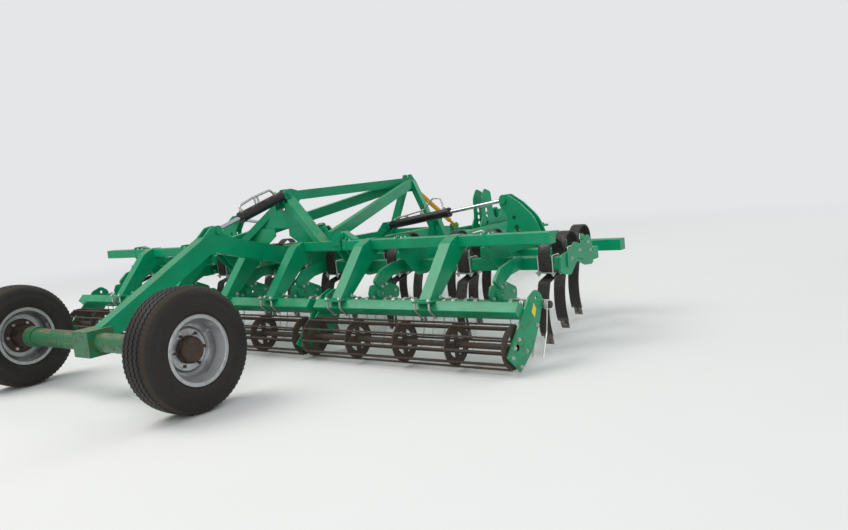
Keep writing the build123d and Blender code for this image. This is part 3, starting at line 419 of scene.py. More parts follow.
def corner_arc(before: Vector, corner: Vector, after: Vector, radius: float) -> list[Vector]:
    """Points of the arc that rounds one corner.

    Args:
        before: Point before the corner.
        corner: The corner itself.
        after: Point after the corner.
        radius: Radius of the bend, or 0 for a sharp corner.

    Returns:
        The arc's points, or the corner alone.
    """
    a = (before - corner).normalized()
    b = (after - corner).normalized()
    half = a.angle(b) / 2
    if radius <= 0.0 or half > math.radians(88):
        return [corner]
    reach = min(radius / math.tan(half), (before - corner).length * 0.49, (after - corner).length * 0.49)
    r = reach * math.tan(half)
    centre = corner + (a + b).normalized() * (r / math.sin(half))
    first, last = corner + a * reach - centre, corner + b * reach - centre
    steps = 5 if r < 0.03 else 12
    return [centre + first.slerp(last, k / steps) * r for k in range(steps + 1)]


def bent(corners: list[tuple[Vector, float]]) -> list[Vector]:
    """An open path with each inner corner rounded by its own radius.

    Args:
        corners: Each corner with its radius.

    Returns:
        The path with its bends.
    """
    path = [corners[0][0]]
    for (before, _), (corner, radius), (after, _) in zip(corners, corners[1:], corners[2:]):
        path.extend(corner_arc(before, corner, after, radius))
    return path + [corners[-1][0]]


def rounded(points: list[Vector], radius: float) -> list[Vector]:
    """An open path with every inner corner rounded by one radius."""
    return bent([(p, radius) for p in points])


def circle(centre: Vector, x: Vector, y: Vector, radius: float, sides: int) -> list[Vector]:
    """Points round a circle that starts on x and turns towards y."""
    turns = [math.tau * k / sides for k in range(sides)]
    return [centre + (x * math.cos(a) + y * math.sin(a)) * radius for a in turns]


class Bench:
    """Gathers plates, rods and bolts into one mesh that rides on one body."""

    rim_ease: float = 0.0015
    plate_ease: float = 0.002
    # Washer, head and thread of a bolt: start, radius and depth as shares of its size, then sides.
    bolt_parts: tuple[tuple[float, float, float, int], ...] = (
        (0.0, 0.62, 0.09, 14), (0.09, 0.5, 0.36, 6), (0.45, 0.25, 0.22, 10))

    def __init__(self, name: str, body: str, slot: Slot, finish: Slot | Finish, paints: Paintbox) -> None:
        """Open an empty mesh.

        Args:
            name: The piece's name.
            body: The CAD body that it rides on.
            slot: The record's slot that it belongs to; it is stored but not used.
            finish: What it is dressed in.
            paints: Where finishes come from.
        """
        self.name, self.body, self.slot, self.finish, self.paints = name, body, slot, finish, paints
        self.mesh = bmesh.new()

    def skin(self, rings: list[list[Vector]]) -> None:
        """Join rings of points into a closed skin with both ends capped.

        Args:
            rings: Rings with the same number of points each.
        """
        rows = [[self.mesh.verts.new(p) for p in ring] for ring in rings]
        for low, high in zip(rows, rows[1:]):
            for k in range(len(low)):
                self.mesh.faces.new((low[k - 1], low[k], high[k], high[k - 1]))
        self.mesh.faces.new(list(reversed(rows[0])))
        self.mesh.faces.new(rows[-1])

    def prism(self, centre: Vector, axis: Vector, radius: float, depth: float, sides: int = 6,
              top: float = 1.0) -> None:
        """Add a prism or a stub of a cone, with its top edge eased.

        Args:
            centre: Middle of its bottom face.
            axis: The way it points.
            radius: Radius to its corners.
            depth: Height along the axis.
            sides: Number of sides.
            top: Radius at the top as a share of the radius.
        """
        z = axis.normalized()
        x = z.orthogonal().normalized()
        ease = min(radius, depth) * 0.16
        levels = ((radius, 0.0), (radius * top, depth - ease), (radius * top - ease, depth))
        self.skin([circle(centre + z * h, x, z.cross(x), r, sides) for r, h in levels])

    def bolt(self, centre: Vector, axis: Vector, size: float) -> None:
        """Add a washer and a hexagon head with a stub of thread.

        Args:
            centre: Where it meets the surface.
            axis: The way the head points.
            size: Across the head's corners.
        """
        for start, radius, depth, sides in self.bolt_parts:
            self.prism(centre + axis * size * start, axis, size * radius, size * depth, sides)

    def rod(self, path: list[Vector], radius: float, sides: int = 8) -> None:
        """Add a round rod along a path.

        Args:
            path: Points of its centre line.
            radius: Radius of the rod.
            sides: Sides of its section.
        """
        points = [path[0]] + [p for a, p in zip(path, path[1:]) if (p - a).length > 1e-6]
        normal = (points[1] - points[0]).normalized().orthogonal().normalized()
        rings = []
        for behind, p, ahead in zip(points[:1] + points, points, points[1:] + points[-1:]):
            way = (ahead - behind).normalized()
            normal = (normal - way * normal.dot(way)).normalized()
            rings.append(circle(p, normal, way.cross(normal), radius, sides))
        self.skin(rings)

    def band(self, path: list[Vector], width: float, thickness: float) -> None:
        """Add a flat band that bends only about the cross axis.

        Args:
            path: Points of its middle line.
            width: Its width across the machine.
            thickness: Its thickness.
        """
        w, t, c = width / 2, thickness / 2, thickness * 0.22
        section = ((-w, c - t), (c - w, -t), (w - c, -t), (w, c - t),
                   (w, t - c), (w - c, t), (c - w, t), (-w, t - c))
        rings = []
        for behind, p, ahead in zip(path[:1] + path, path, path[1:] + path[-1:]):
            way = (ahead - behind).normalized()
            out = Vector((-way.z, 0.0, way.x))
            rings.append([p + Axis.WIDTH.value * a + out * b for a, b in section])
        self.skin(rings)

    def slab(self, edge: list[Vector], across: Vector, holes: tuple[list[Vector], ...] = (),
             ease: float = rim_ease) -> None:
        """Add a flat plate from its outline, with holes and eased rims.

        Args:
            edge: The outline's points, all in one plane.
            across: Its thickness as a vector.
            holes: Outlines of its holes.
            ease: Width of the eased rims.
        """
        rims = []
        for loop in (edge, *holes):
            verts = [self.mesh.verts.new(p) for p in loop]
            rims += [self.mesh.edges.new((verts[k - 1], verts[k])) for k in range(len(verts))]
        filled = bmesh.ops.triangle_fill(self.mesh, use_beauty=True, edges=rims)["geom"]
        lifted: dict[bmesh.types.BMVert, bmesh.types.BMVert] = {}
        for face in [f for f in filled if isinstance(f, bmesh.types.BMFace)]:
            for v in face.verts:
                if v not in lifted:
                    lifted[v] = self.mesh.verts.new(v.co + across)
            self.mesh.faces.new([lifted[v] for v in reversed(face.verts)])
        far_rims = []
        for a, b in [rim.verts for rim in rims]:
            self.mesh.faces.new((a, b, lifted[b], lifted[a]))
            far_rims.append(self.mesh.edges.get((lifted[a], lifted[b])))
        bmesh.ops.bevel(self.mesh, geom=rims + far_rims, offset=ease, segments=1, affect="EDGES",
                        clamp_overlap=True)

    def plate(self, centre: Vector, size: Point) -> None:
        """Add a flat plate with eased edges.

        Args:
            centre: Its middle.
            size: Its lengths along the axes.
        """
        made = bmesh.ops.create_cube(self.mesh, size=1.0)["verts"]
        placed = Matrix.Translation(centre) @ Matrix.Diagonal((*size, 1.0))
        bmesh.ops.transform(self.mesh, matrix=placed, verts=made)
        edges = list({e for v in made for e in v.link_edges})
        bmesh.ops.bevel(self.mesh, geom=edges, offset=self.plate_ease, segments=2, affect="EDGES",
                        profile=0.6)

    def close(self, *replaced: str) -> None:
        """Turn the gathered shapes into one dressed piece.

        Args:
            replaced: CAD nodes that it stands for.
        """
        bmesh.ops.recalc_face_normals(self.mesh, faces=self.mesh.faces)
        data = bpy.data.meshes.new(self.name)
        self.mesh.to_mesh(data)
        self.mesh.free()
        data.shade_smooth()
        data.set_sharp_from_angle(angle=math.radians(38))
        thing = bpy.data.objects.new(self.name, data)
        bpy.context.scene.collection.objects.link(thing)
        self.paints.dress(thing, self.finish)
        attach(thing, self.body)
        if replaced:
            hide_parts(*replaced)
        LOG.info("%s: %d faces on %s", self.name, len(data.polygons), self.body)


@dataclass
class Studio:
    """Camera at the photograph's view, pale floor and soft lamps."""

    station: Point = (-5.376, -4.917, 1.241)
    yaw: float = 37.29
    pitch: float = -6.30
    roll: float = 5.74
    lens: float = 33.08
    floor_half: float = 60.0
    floor_colour: Colour = (0.80, 0.80, 0.78)
    backdrop: Colour = (0.78, 0.79, 0.80)
    fade_from: float = 3.5
    fade_to: float = 13.0
    sky_tint: Colour = (0.93, 0.96, 1.0)
    sky_strength: float = 0.58
    lamp_size: float = 7.0
    lamps: tuple[tuple[str, Point, float, Colour], ...] = (
        ("key", (-5.0, 4.0, 10.0), 700.0, (1.0, 0.98, 0.94)),
        ("fill", (-8.0, -9.0, 6.0), 330.0, (0.95, 0.97, 1.0)),
        ("far", (9.0, -3.0, 8.0), 260.0, (1.0, 1.0, 1.0)),
    )

    def camera(self) -> None:
        """Set the camera up at the photograph's station, with its slight roll."""
        y, p, r = (math.radians(v) for v in (self.yaw, self.pitch, self.roll))
        ahead = Vector((math.cos(p) * math.cos(y), math.cos(p) * math.sin(y), math.sin(p)))
        right = Vector((math.sin(y), -math.cos(y), 0.0))
        down = ahead.cross(right)
        rolled_right = right * math.cos(r) + down * math.sin(r)
        rolled_down = down * math.cos(r) - right * math.sin(r)
        data = bpy.data.cameras.new("view")
        data.lens = self.lens
        data.sensor_width = 36.0
        data.clip_end = 300.0
        camera = bpy.data.objects.new("view", data)
        turn = Matrix((rolled_right, -rolled_down, -ahead)).transposed()
        camera.matrix_world = Matrix.Translation(self.station) @ turn.to_4x4()
        bpy.context.scene.collection.objects.link(camera)
        bpy.context.scene.camera = camera

    def floor(self) -> None:
        """Lay the pale floor, which runs into the backdrop's tone far away from the machine."""
        h = self.floor_half
        data = bpy.data.meshes.new("floor")
        data.from_pydata([(-h, -h, 0), (h, -h, 0), (h, h, 0), (-h, h, 0)], [], [(0, 1, 2, 3)])
        thing = bpy.data.objects.new("floor", data)
        bpy.context.scene.collection.objects.link(thing)
        sheet = Sheet("floor_finish")
        tint = tuple(part * 0.97 for part in self.floor_colour)
        sheet.surface(Base_Color=sheet.blend(sheet.noise(1.5, 3.0), self.floor_colour, tint),
                      Roughness=0.9, Specular_IOR_Level=0.1)
        away = sheet.node("VectorMath", {0: sheet.place["Object"]}, operation="LENGTH").outputs["Value"]
        seen = sheet.node("LightPath", {}).outputs["Is Camera Ray"]
        glow = sheet.node("Emission", {"Color": (*self.backdrop, 1.0)})
        share = sheet.times(sheet.band(away, self.fade_from, self.fade_to), seen)
        mix = sheet.node("MixShader", {0: share, 1: sheet.shader.outputs[0], 2: glow.outputs[0]})
        sheet.feed(sheet.tree.nodes["Material Output"].inputs["Surface"], mix.outputs[0])
        data.materials.append(sheet.material)

    def light(self) -> None:
        """Hang the soft square lamps, aimed at the machine."""
        for name, place, power, tint in self.lamps:
            data = bpy.data.lights.new(name, "AREA")
            data.size = self.lamp_size
            data.energy = power
            data.color = tint
            lamp = bpy.data.objects.new(name, data)
            lamp.location = place
            lamp.rotation_euler = (-Vector(place)).to_track_quat("-Z", "Y").to_euler()
            bpy.context.scene.collection.objects.link(lamp)

    def sky(self) -> None:
        """Light the scene evenly, and show the same pale tone behind the floor."""
        world = bpy.data.worlds.new("studio")
        bpy.context.scene.world = world
        world.use_nodes = True
        tree = world.node_tree
        back = tree.nodes["Background"]
        back.inputs["Color"].default_value = (*self.sky_tint, 1.0)
        back.inputs["Strength"].default_value = self.sky_strength
        seen = tree.nodes.new("ShaderNodeBackground")
        seen.inputs["Color"].default_value = (*self.backdrop, 1.0)
        mix = tree.nodes.new("ShaderNodeMixShader")
        path = tree.nodes.new("ShaderNodeLightPath")
        tree.links.new(path.outputs["Is Camera Ray"], mix.inputs[0])
        tree.links.new(back.outputs[0], mix.inputs[1])
        tree.links.new(seen.outputs[0], mix.inputs[2])
        tree.links.new(mix.outputs[0], tree.nodes["World Output"].inputs["Surface"])

    def build(self) -> None:
        """Make the whole studio."""
        bpy.context.scene.view_settings.view_transform = "Standard"
        self.camera()
        self.floor()
        self.sky()
        self.light()
        LOG.info("studio ready")


@dataclass
class Layout:
    """Main lines of the machine, in metres from its own datum, and where the datum lies.

    What is placed across it comes as the places on the centre frame and those on a wing, on one side.
    """

    joints: dict[str, dict]
    fold_x: float = 1.870
    rows: tuple[float, ...] = (1.150, 1.650, 2.150)
    bar_z: float = 0.585
    bar: float = 0.090
    band: float = 0.090
    carrier_x: float = 0.500
    carrier_z: float = 0.378
    carrier_half: float = 0.0566
    carrier_arms: Places = ((0.280,), (1.000, 1.800))
    comb_x: float = 0.805
    comb_z: float = 0.362
    comb_arms: Places = ((0.320,), (1.150, 2.190))
    tines: tuple[Places, ...] = (
        ((0.380,), (1.040, 1.710, 2.380)),
        ((0.150, 0.600), (0.930, 1.490, 2.250)),
        ((0.380,), (0.930, 1.300, 2.120)),
    )
    fins: Places = ((0.700,), (0.790, 1.300, 2.060))
    beam_x: float = 0.900
    beam_z: float = 0.785
    beam: float = 0.080
    half_width: float = 2.500
    end_plate: float = 0.012
    shift: float = field(init=False)

    def __post_init__(self) -> None:
        """Find the datum from the brackets of the fold rams."""
        low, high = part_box("fold_brackets")
        self.shift = (low.x + high.x) / 2 - self.fold_x

    def at(self, x: float, y: float, z: float) -> Vector:
        """A place in the frame from a place measured from the datum."""
        return Vector((x + self.shift, y, z))

    def spots(self, section: str, places: Places) -> list[float]:
        """Where a section of the machine has what is placed across it.

        Args:
            section: The section's name.
            places: Places on the centre frame and on a wing, on one side.

        Returns:
            The section's own places, with their sides.
        """
        near, far = places
        if section == "centre":
            return [s * y for _, s in SIDES for y in near]
        return [dict(SIDES)[section] * y for y in far]

    def tine_spots(self, section: str) -> list[Pair]:
        """Where a section has its tines, as places along and across, row by row."""
        return [(x, y) for x, places in zip(self.rows, self.tines) for y in self.spots(section, places)]

    def outline(self, corners: tuple[Point, ...], x: float, z: float, y: float) -> list[Vector]:
        """A closed outline in a lengthwise plane, each corner rounded by its own radius.

        Args:
            corners: Rows of place along, place up and radius, about a centre.
            x: Centre's place along the machine.
            z: Centre's height.
            y: Place of the plane across the machine.

        Returns:
            The points of the outline.
        """
        loop = [(self.at(x + a, y, z + b), r) for a, b, r in corners]
        points = []
        for k, (corner, radius) in enumerate(loop):
            points.extend(corner_arc(loop[k - 1][0], corner, loop[(k + 1) % len(loop)][0], radius))
        return points

    def hole(self, x: float, y: float, z: float, radius: float) -> list[Vector]:
        """A round hole in a lengthwise plane."""
        return circle(self.at(x, y, z), Axis.LENGTH.value, Axis.UP.value, radius, 16)


@dataclass
class Fitting:
    """What every sub-assembly works from. A nut, ring, boss or pipe end is written as radius and length."""

    layout: Layout
    paints: Paintbox

    def bench(self, name: str, body: str, slot: Slot = Slot.ZINC, finish: Finish | None = None) -> Bench:
        """Open the mesh of one piece, in its slot's finish or in one of its own."""
        return Bench(name, body, slot, finish or slot, self.paints)


@dataclass
class Tyres(Fitting):
    """Ribbed implement tyres with zigzag grooves, shoulder notches and moulded side walls."""

    segments: int = 288
    zigzags: int = 72
    swing: float = 0.006
    notch: float = 0.004
    notched_rows: tuple[int, ...] = (12, 13, 14)
    groove_half: float = 0.0055
    groove_depth: float = 0.009
    grooves: tuple[float, ...] = (-0.062, -0.021, 0.021, 0.062)
    crown_drop: float = 0.0065
    crown_half: float = 0.09
    seat_inset: float = 0.018
    dust_from: float = 0.004
    dusted: float = 0.3

    def section(self, radius: float, seat: float, half: float) -> list[Point]:
        """The section from bead to bead.

        Args:
            radius: Outer radius of the tyre.
            seat: Radius of the bead seat.
            half: Half of the section's width.

        Returns:
            Rows of radius, place across and share of the zigzag.
        """
        wall = (
            (seat - 0.002, half - 0.034), (seat + 0.012, half - 0.022), (seat + 0.022, half - 0.017),
            (seat + 0.028, half - 0.019), (seat + 0.040, half - 0.010), (seat + 0.058, half - 0.004),
            (seat + 0.080, half), (seat + 0.100, half), (seat + 0.104, half - 0.003),
            (seat + 0.120, half - 0.004), (radius - 0.050, half - 0.007), (radius - 0.040, half - 0.010),
            (radius - 0.026, half - 0.018), (radius - 0.014, half - 0.030), (radius - 0.008, half - 0.040),
        )
        tread = []
        for groove in self.grooves:
            for offset, depth in ((-1.0, 0.0), (-0.7, 1.0), (0.7, 1.0), (1.0, 0.0)):
                across = groove + offset * self.groove_half
                crown = radius - self.crown_drop * (abs(across) / self.crown_half) ** 2
                tread.append((crown - depth * self.groove_depth, across, 1.0))
        return [(r, -w, 0.0) for r, w in wall] + tread + [(r, w, 0.0) for r, w in reversed(wall)]

    def ring(self, bench: Bench, rows: list[Point], middle: Vector, k: int) -> list[bmesh.types.BMVert]:
        """One section of the tyre, with its share of the zigzag and notches.

        Args:
            bench: Where the points go.
            rows: The section.
            middle: Centre of the wheel.
            k: Number of the section round the wheel.

        Returns:
            The section's points.
        """
        a = math.tau * k / self.segments
        phase = (k * self.zigzags / self.segments) % 1.0
        zigzag = (4 * abs(phase - 0.5) - 1) * self.swing
        points = []
        for i, (r, w, share) in enumerate(rows):
            if phase < 0.5 and min(i, len(rows) - 1 - i) in self.notched_rows:
                r -= self.notch
            place = Vector((r * math.cos(a), w + zigzag * share, r * math.sin(a)))
            points.append(bench.mesh.verts.new(middle + place))
        return points

    def build(self) -> None:
        """Make both tyres."""
        for side, _ in SIDES:
            low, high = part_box(f"tyre_{side}")
            rim_low, rim_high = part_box(f"rim_{side}")
            middle = (low + high) / 2
            radius = (high.z - low.z) / 2
            seat = (rim_high.z - rim_low.z) / 2 - self.seat_inset
            rows = self.section(radius, seat, (high.y - low.y) / 2)
            finish = Rubber(f"tyre_{side}_finish", screen(22, 21, 20), screen(70, 61, 52), tuple(middle),
                            radius - self.dust_from, self.dusted)
            bench = self.bench(f"tyre_tread_{side}", f"wheel_{side}", Slot.TYRE, finish)
            rings = [self.ring(bench, rows, middle, k) for k in range(self.segments)]
            for one, two in zip(rings, rings[1:] + rings[:1]):
                for i in range(len(rows) - 1):
                    bench.mesh.faces.new((one[i], one[i + 1], two[i + 1], two[i]))
            bench.close(f"tyre_{side}")


@dataclass
class WheelHardware(Fitting):
    """Wheel nuts, cap ring and valve on each rim."""

    pitch_radius: float = 0.102
    nuts: int = 6
    nut: float = 0.032
    face: float = 0.006
    back: float = 0.024
    stud: Pair = (0.012, 0.018)
    valve: tuple[Point, ...] = ((0.118, 0.004, 0.086), (0.118, 0.034, 0.086), (0.138, 0.054, 0.101))
    valve_bend: float = 0.01
    valve_radius: float = 0.004
    ring: Pair = (0.046, 0.026)
    ring_inset: float = 0.030

    def build(self) -> None:
        """Dress both wheels."""
        for side, s in SIDES:
            low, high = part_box(f"rim_{side}")
            middle = (low + high) / 2
            out = Axis.WIDTH.value * s
            bench = self.bench(f"wheel_nuts_{side}", f"wheel_{side}")
            for spot in circle(middle, Axis.LENGTH.value, Axis.UP.value, self.pitch_radius, self.nuts):
                bench.bolt(spot + out * self.face, out, self.nut)
                bench.prism(spot - out * self.back, -out, *self.stud, 8)
            valve = [middle + Vector((x, s * y, z)) for x, y, z in self.valve]
            bench.rod(rounded(valve, self.valve_bend), self.valve_radius)
            bench.close()
            ring = self.bench(f"hub_ring_{side}", f"wheel_{side}", Slot.HUB)
            hub_low, hub_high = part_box(f"hub_{side}")
            end = hub_high.y if s > 0 else hub_low.y
            ring.prism(Vector((middle.x, end - s * self.ring_inset, middle.z)), out, *self.ring, 28, top=0.8)
            ring.close()


@dataclass
class SpringTines(Fitting):
    """Flat-band tines: clamped under the toolbar, coiled once round it and drawn down into a curved shank."""

    thickness: float = 0.012
    coil: float = 0.105
    ahead: float = 0.045
    tail: float = 0.010
    rise: float = 0.159
    fall: float = 0.060
    pass_gap: float = 0.011
    heel_bend: float = 0.018
    toe_bend: float = 0.045
    back_bend: float = 0.030
    back: float = 0.040
    shank: float = 0.450
    steps: int = 12
    lean: float = math.radians(20.0)
    straight: float = 0.060
    tip_z: float = 0.095
    point: float = 0.070
    point_thickness: float = 0.008
    point_bevel: float = 0.012
    point_overlap: float = 0.060
    point_side: float = 0.012
    point_gap: float = 0.0002

    def line(self, x: float, y: float) -> tuple[list[Vector], float]:
        """The band's middle line, from its clamped end to its tip.

        Args:
            x: Place of the toolbar along the machine.
            y: Place of the tine across it.

        Returns:
            The line's points and the angle of its end past the vertical.
        """
        half, bar_z = self.layout.bar / 2, self.layout.bar_z
        under = -half - self.thickness / 2
        heel, toe = self.ahead - self.coil, self.ahead + self.coil
        low = under - self.pass_gap - self.fall
        back = -half - self.back
        top = (back - self.straight * math.sin(self.lean), low - self.straight * math.cos(self.lean))
        centre = (top[0] + self.shank * math.cos(self.lean), top[1] - self.shank * math.sin(self.lean))
        turn = math.asin((centre[1] - (self.tip_z - bar_z)) / self.shank)
        corners = ((half + self.tail, under, 0.0), (heel, under, self.heel_bend),
                   (heel, self.rise, self.coil), (toe, self.rise, self.coil),
                   (toe, under - self.pass_gap, self.toe_bend), (back, low, self.back_bend), (*top, 0.0))
        line = bent([(self.layout.at(x + a, y, bar_z + b), r) for a, b, r in corners])
        for k in range(self.steps):
            a = -self.lean + (turn + self.lean) * (k + 1) / self.steps
            line.append(self.layout.at(x + centre[0] - self.shank * math.cos(a), y,
                                       bar_z + centre[1] - self.shank * math.sin(a)))
        return line, turn

    def tine(self, bench: Bench, x: float, y: float) -> None:
        """One tine with its point.

        Args:
            bench: Where the shapes go.
            x: Place of the toolbar along the machine.
            y: Place of the tine across it.
        """
        line, turn = self.line(x, y)
        bench.band(line, self.layout.band, self.thickness)
        along = Vector((math.sin(turn), 0.0, -math.cos(turn)))
        out = Vector((math.cos(turn), 0.0, math.sin(turn)))
        wide = Axis.WIDTH.value * (self.layout.band - 2 * self.point_side)
        face = line[-1] + out * (self.thickness / 2 + self.point_gap) - wide / 2
        back = face + out * self.point_thickness
        bench.slab([face - along * self.point_overlap, face + along * self.point,
                    back + along * self.point_bevel, back - along * self.point_overlap], wide)

    def build(self) -> None:
        """Bend every tine."""
        for section, body in SECTIONS:
            bench = self.bench(f"bands_{section}", body, Slot.SPRING)
            for x, y in self.layout.tine_spots(section):
                self.tine(bench, x, y)
            bench.close(f"tines_{section}")


@dataclass
class TineClamps(Fitting):
    """Bolts that hold the looped tines under the toolbars, with their clamp plates."""

    rod: float = 0.007
    gap: float = 0.003
    bend: float = 0.014
    below: float = 0.012
    tail: float = 0.030
    plate: Pair = (0.034, 0.008)
    plate_past: float = 0.026
    plate_drop: float = 0.005
    nut: Pair = (0.0135, 0.012)
    nut_drop: float = 0.009

    def clamp(self, bench: Bench, x: float, y: float) -> None:
        """One tine's pair of bent bolts and the plates under it.

        Args:
            bench: Where the shapes go.
            x: Place of the toolbar along the machine.
            y: Place of the tine across it.
        """
        layout = self.layout
        half = layout.bar / 2 + self.rod
        top, under = layout.bar_z + half, layout.bar_z - layout.bar / 2 - self.below
        legs = [y + s * (layout.band / 2 + self.rod + self.gap) for s in ENDS]
        for across in legs:
            corners = ((-half, under - self.tail), (-half, top), (half, top), (half, under - self.tail))
            bench.rod(rounded([layout.at(x + a, across, z) for a, z in corners], self.bend), self.rod)
        length, thickness = self.plate
        for place in (x - half, x + half):
            bench.plate(layout.at(place, y, under - self.plate_drop),
                        (length, layout.band + 2 * self.plate_past, thickness))
            for across in legs:
                bench.prism(layout.at(place, across, under - self.nut_drop), -Axis.UP.value, *self.nut)

    def build(self) -> None:
        """Clamp every tine."""
        for section, body in SECTIONS:
            bench = self.bench(f"tine_clamps_{body}", body)
            for x, y in self.layout.tine_spots(section):
                self.clamp(bench, x, y)
            bench.close()


@dataclass
class CombBars(Fitting):
    """Comb pipes on curved arms, each arm with a holed sector plate and clamp strips on the toolbar."""

    pipe: float = 0.024
    bare_from: float = 2.506
    bare: Pair = (0.0238, 0.054)
    arm_thickness: float = 0.024
    sector_thickness: float = 0.012
    arm: tuple[Point, ...] = (
        (0.300, 0.281, 0.004), (0.150, 0.270, 0.060), (0.008, 0.238, 0.060), (-0.062, 0.180, 0.030),
        (-0.080, 0.155, 0.020), (-0.020, 0.100, 0.020), (0.041, 0.135, 0.060), (0.134, 0.174, 0.060),
        (0.300, 0.193, 0.004))
    sector: tuple[Point, ...] = (
        (-0.151, 0.081, 0.014), (-0.125, 0.138, 0.020), (0.057, 0.143, 0.060), (0.207, 0.078, 0.040),
        (0.195, 0.010, 0.030), (0.095, -0.022, 0.040), (0.015, -0.044, 0.020), (-0.035, -0.044, 0.020),
        (-0.125, 0.018, 0.040))
    hole: Point = (0.015, 0.062, 0.011)
    boss_at: Pair = (-0.059, 0.066)
    boss: Pair = (0.024, 0.048)
    arm_bolts: tuple[Pair, ...] = ((-0.002, 0.112), (0.043, 0.124))
    sector_bolts: tuple[Pair, ...] = ((-0.105, 0.050), (0.150, 0.060))
    strip: Point = (0.055, 0.048, 0.012)
    strip_inset: float = 0.014
    strip_levels: Pair = (0.040, -0.020)
    strip_bolts: Pair = (0.034, 0.016)
    strip_bolt: float = 0.016
    arm_bolt: float = 0.020

    def strips(self, steel: Bench, bolts: Bench, y: float) -> None:
        """The clamp strips of one arm on the toolbar.

        Args:
            steel: Where the steel goes.
            bolts: Where the bolts go.
            y: Place of the arm across the machine.
        """
        face = self.layout.rows[0] - self.layout.bar / 2
        inboard = y - math.copysign(self.strip_inset, y)
        back, apart = self.strip_bolts
        for offset in self.strip_levels:
            level = self.layout.bar_z + offset
            steel.plate(self.layout.at(face - self.strip[0] / 2, inboard, level), self.strip)
            for side in ENDS:
                bolts.bolt(self.layout.at(face - back, inboard + side * apart, level + self.strip[2] / 2),
                           Axis.UP.value, self.strip_bolt)

    def hang(self, steel: Bench, bolts: Bench, y: float) -> None:
        """One arm with its sector, boss, strips and bolts.

        Args:
            steel: Where the steel goes.
            bolts: Where the bolts go.
            y: Place of the arm across the machine.
        """
        layout, wide = self.layout, Axis.WIDTH.value
        x, z = layout.comb_x, layout.comb_z
        arm, sector = self.arm_thickness / 2, self.sector_thickness / 2
        hole = layout.hole(x + self.hole[0], y - sector, z + self.hole[1], self.hole[2])
        steel.slab(layout.outline(self.arm, x, z, y - arm), wide * self.arm_thickness)
        steel.slab(layout.outline(self.sector, x, z, y - sector), wide * self.sector_thickness, (hole,))
        a, b = self.boss_at
        steel.prism(layout.at(x + a, y - self.boss[1] / 2, z + b), wide, *self.boss, 20)
        self.strips(steel, bolts, y)
        for places, half in ((self.arm_bolts, arm), (self.sector_bolts, sector)):
            for a, b in places:
                for side in ENDS:
                    bolts.bolt(layout.at(x + a, y + side * half, z + b), wide * side, self.arm_bolt)

    def build(self) -> None:
        """Make the three comb bars, with bare pipe at the outer ends."""
        layout, wide = self.layout, Axis.WIDTH.value
        for section, body in SECTIONS:
            low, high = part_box(f"comb_bar_{section}")
            steel = self.bench(f"comb_steel_{section}", body, Slot.PAINT)
            bolts = self.bench(f"comb_bolts_{section}", body)
            start, end = max(-self.bare_from, low.y), min(self.bare_from, high.y)
            for side, s in SIDES:
                if side == section:
                    bare = self.bench(f"comb_pipe_end_{section}", body, Slot.ROLLER)
                    bare.prism(layout.at(layout.comb_x, s * self.bare_from, layout.comb_z), wide * s,
                               *self.bare, 24)
                    bare.close()
            steel.prism(layout.at(layout.comb_x, start, layout.comb_z), wide, self.pipe, end - start, 24)
            for y in layout.spots(section, layout.comb_arms):
                self.hang(steel, bolts, y)
            steel.close(f"comb_bar_{section}")
            bolts.close()


@dataclass
class Fingers(Fitting):
    """Levelling fingers wound from spring wire: two coils on the pipe and two bent prongs."""

    wire: float = 0.005
    winding: float = 0.029
    gap: float = 0.080
    turns: float = 2.5
    steps: int = 40
    coil_length: float = 0.026
    knee: Pair = (0.038, 0.190)
    knee_bend: float = 0.05
    tip: Pair = (0.110, 0.036)
    clip: Point = (0.030, 0.034, 0.008)
    clip_bolt: float = 0.018

    def places(self, node: str) -> list[float]:
        """Centres of a node's finger pairs, found from its mesh.

        Args:
            node: The CAD node with the fingers.

        Returns:
            The places across the machine.
        """
        data = bpy.data.objects[node].data
        tips = sorted({round(v.co.y, 3) for v in data.vertices if v.co.z < self.tip[1] + 0.002})
        groups: list[list[float]] = []
        for y in tips:
            if groups and y - groups[-1][-1] < self.gap:
                groups[-1].append(y)
            else:
                groups.append([y])
        return [(group[0] + group[-1]) / 2 for group in groups]

    def pair(self, y: float) -> list[Vector]:
        """The centre line of one pair, from tip to tip.

        Args:
            y: Place across the machine.

        Returns:
            The points of its centre line.
        """
        at, x, z, side = self.layout.at, self.layout.comb_x, self.layout.comb_z, self.gap / 2
        corners = [at(x - back, side, height) for back, height in (self.tip, self.knee, (self.winding, z))]
        half = rounded(corners, self.knee_bend)[:-1]
        for k in range(self.steps + 1):
            a = math.pi - math.tau * self.turns * k / self.steps
            lean = side + self.coil_length * (0.5 - k / self.steps)
            half.append(at(x + self.winding * math.cos(a), lean, z + self.winding * math.sin(a)))
        other = [Vector((p.x, -p.y, p.z)) for p in reversed(half)]
        return [Vector((p.x, p.y + y, p.z)) for p in half + other]

    def build(self) -> None:
        """Wind all the fingers."""
        x, z = self.layout.comb_x, self.layout.comb_z + self.winding
        for section, body in SECTIONS:
            node = f"fingers_{section}"
            bench = self.bench(f"wire_{node}", body)
            for y in self.places(node):
                bench.rod(self.pair(y), self.wire)
                bench.plate(self.layout.at(x, y, z), self.clip)
                bench.bolt(self.layout.at(x, y, z + self.clip[2] / 2), Axis.UP.value, self.clip_bolt)
            bench.close(node)


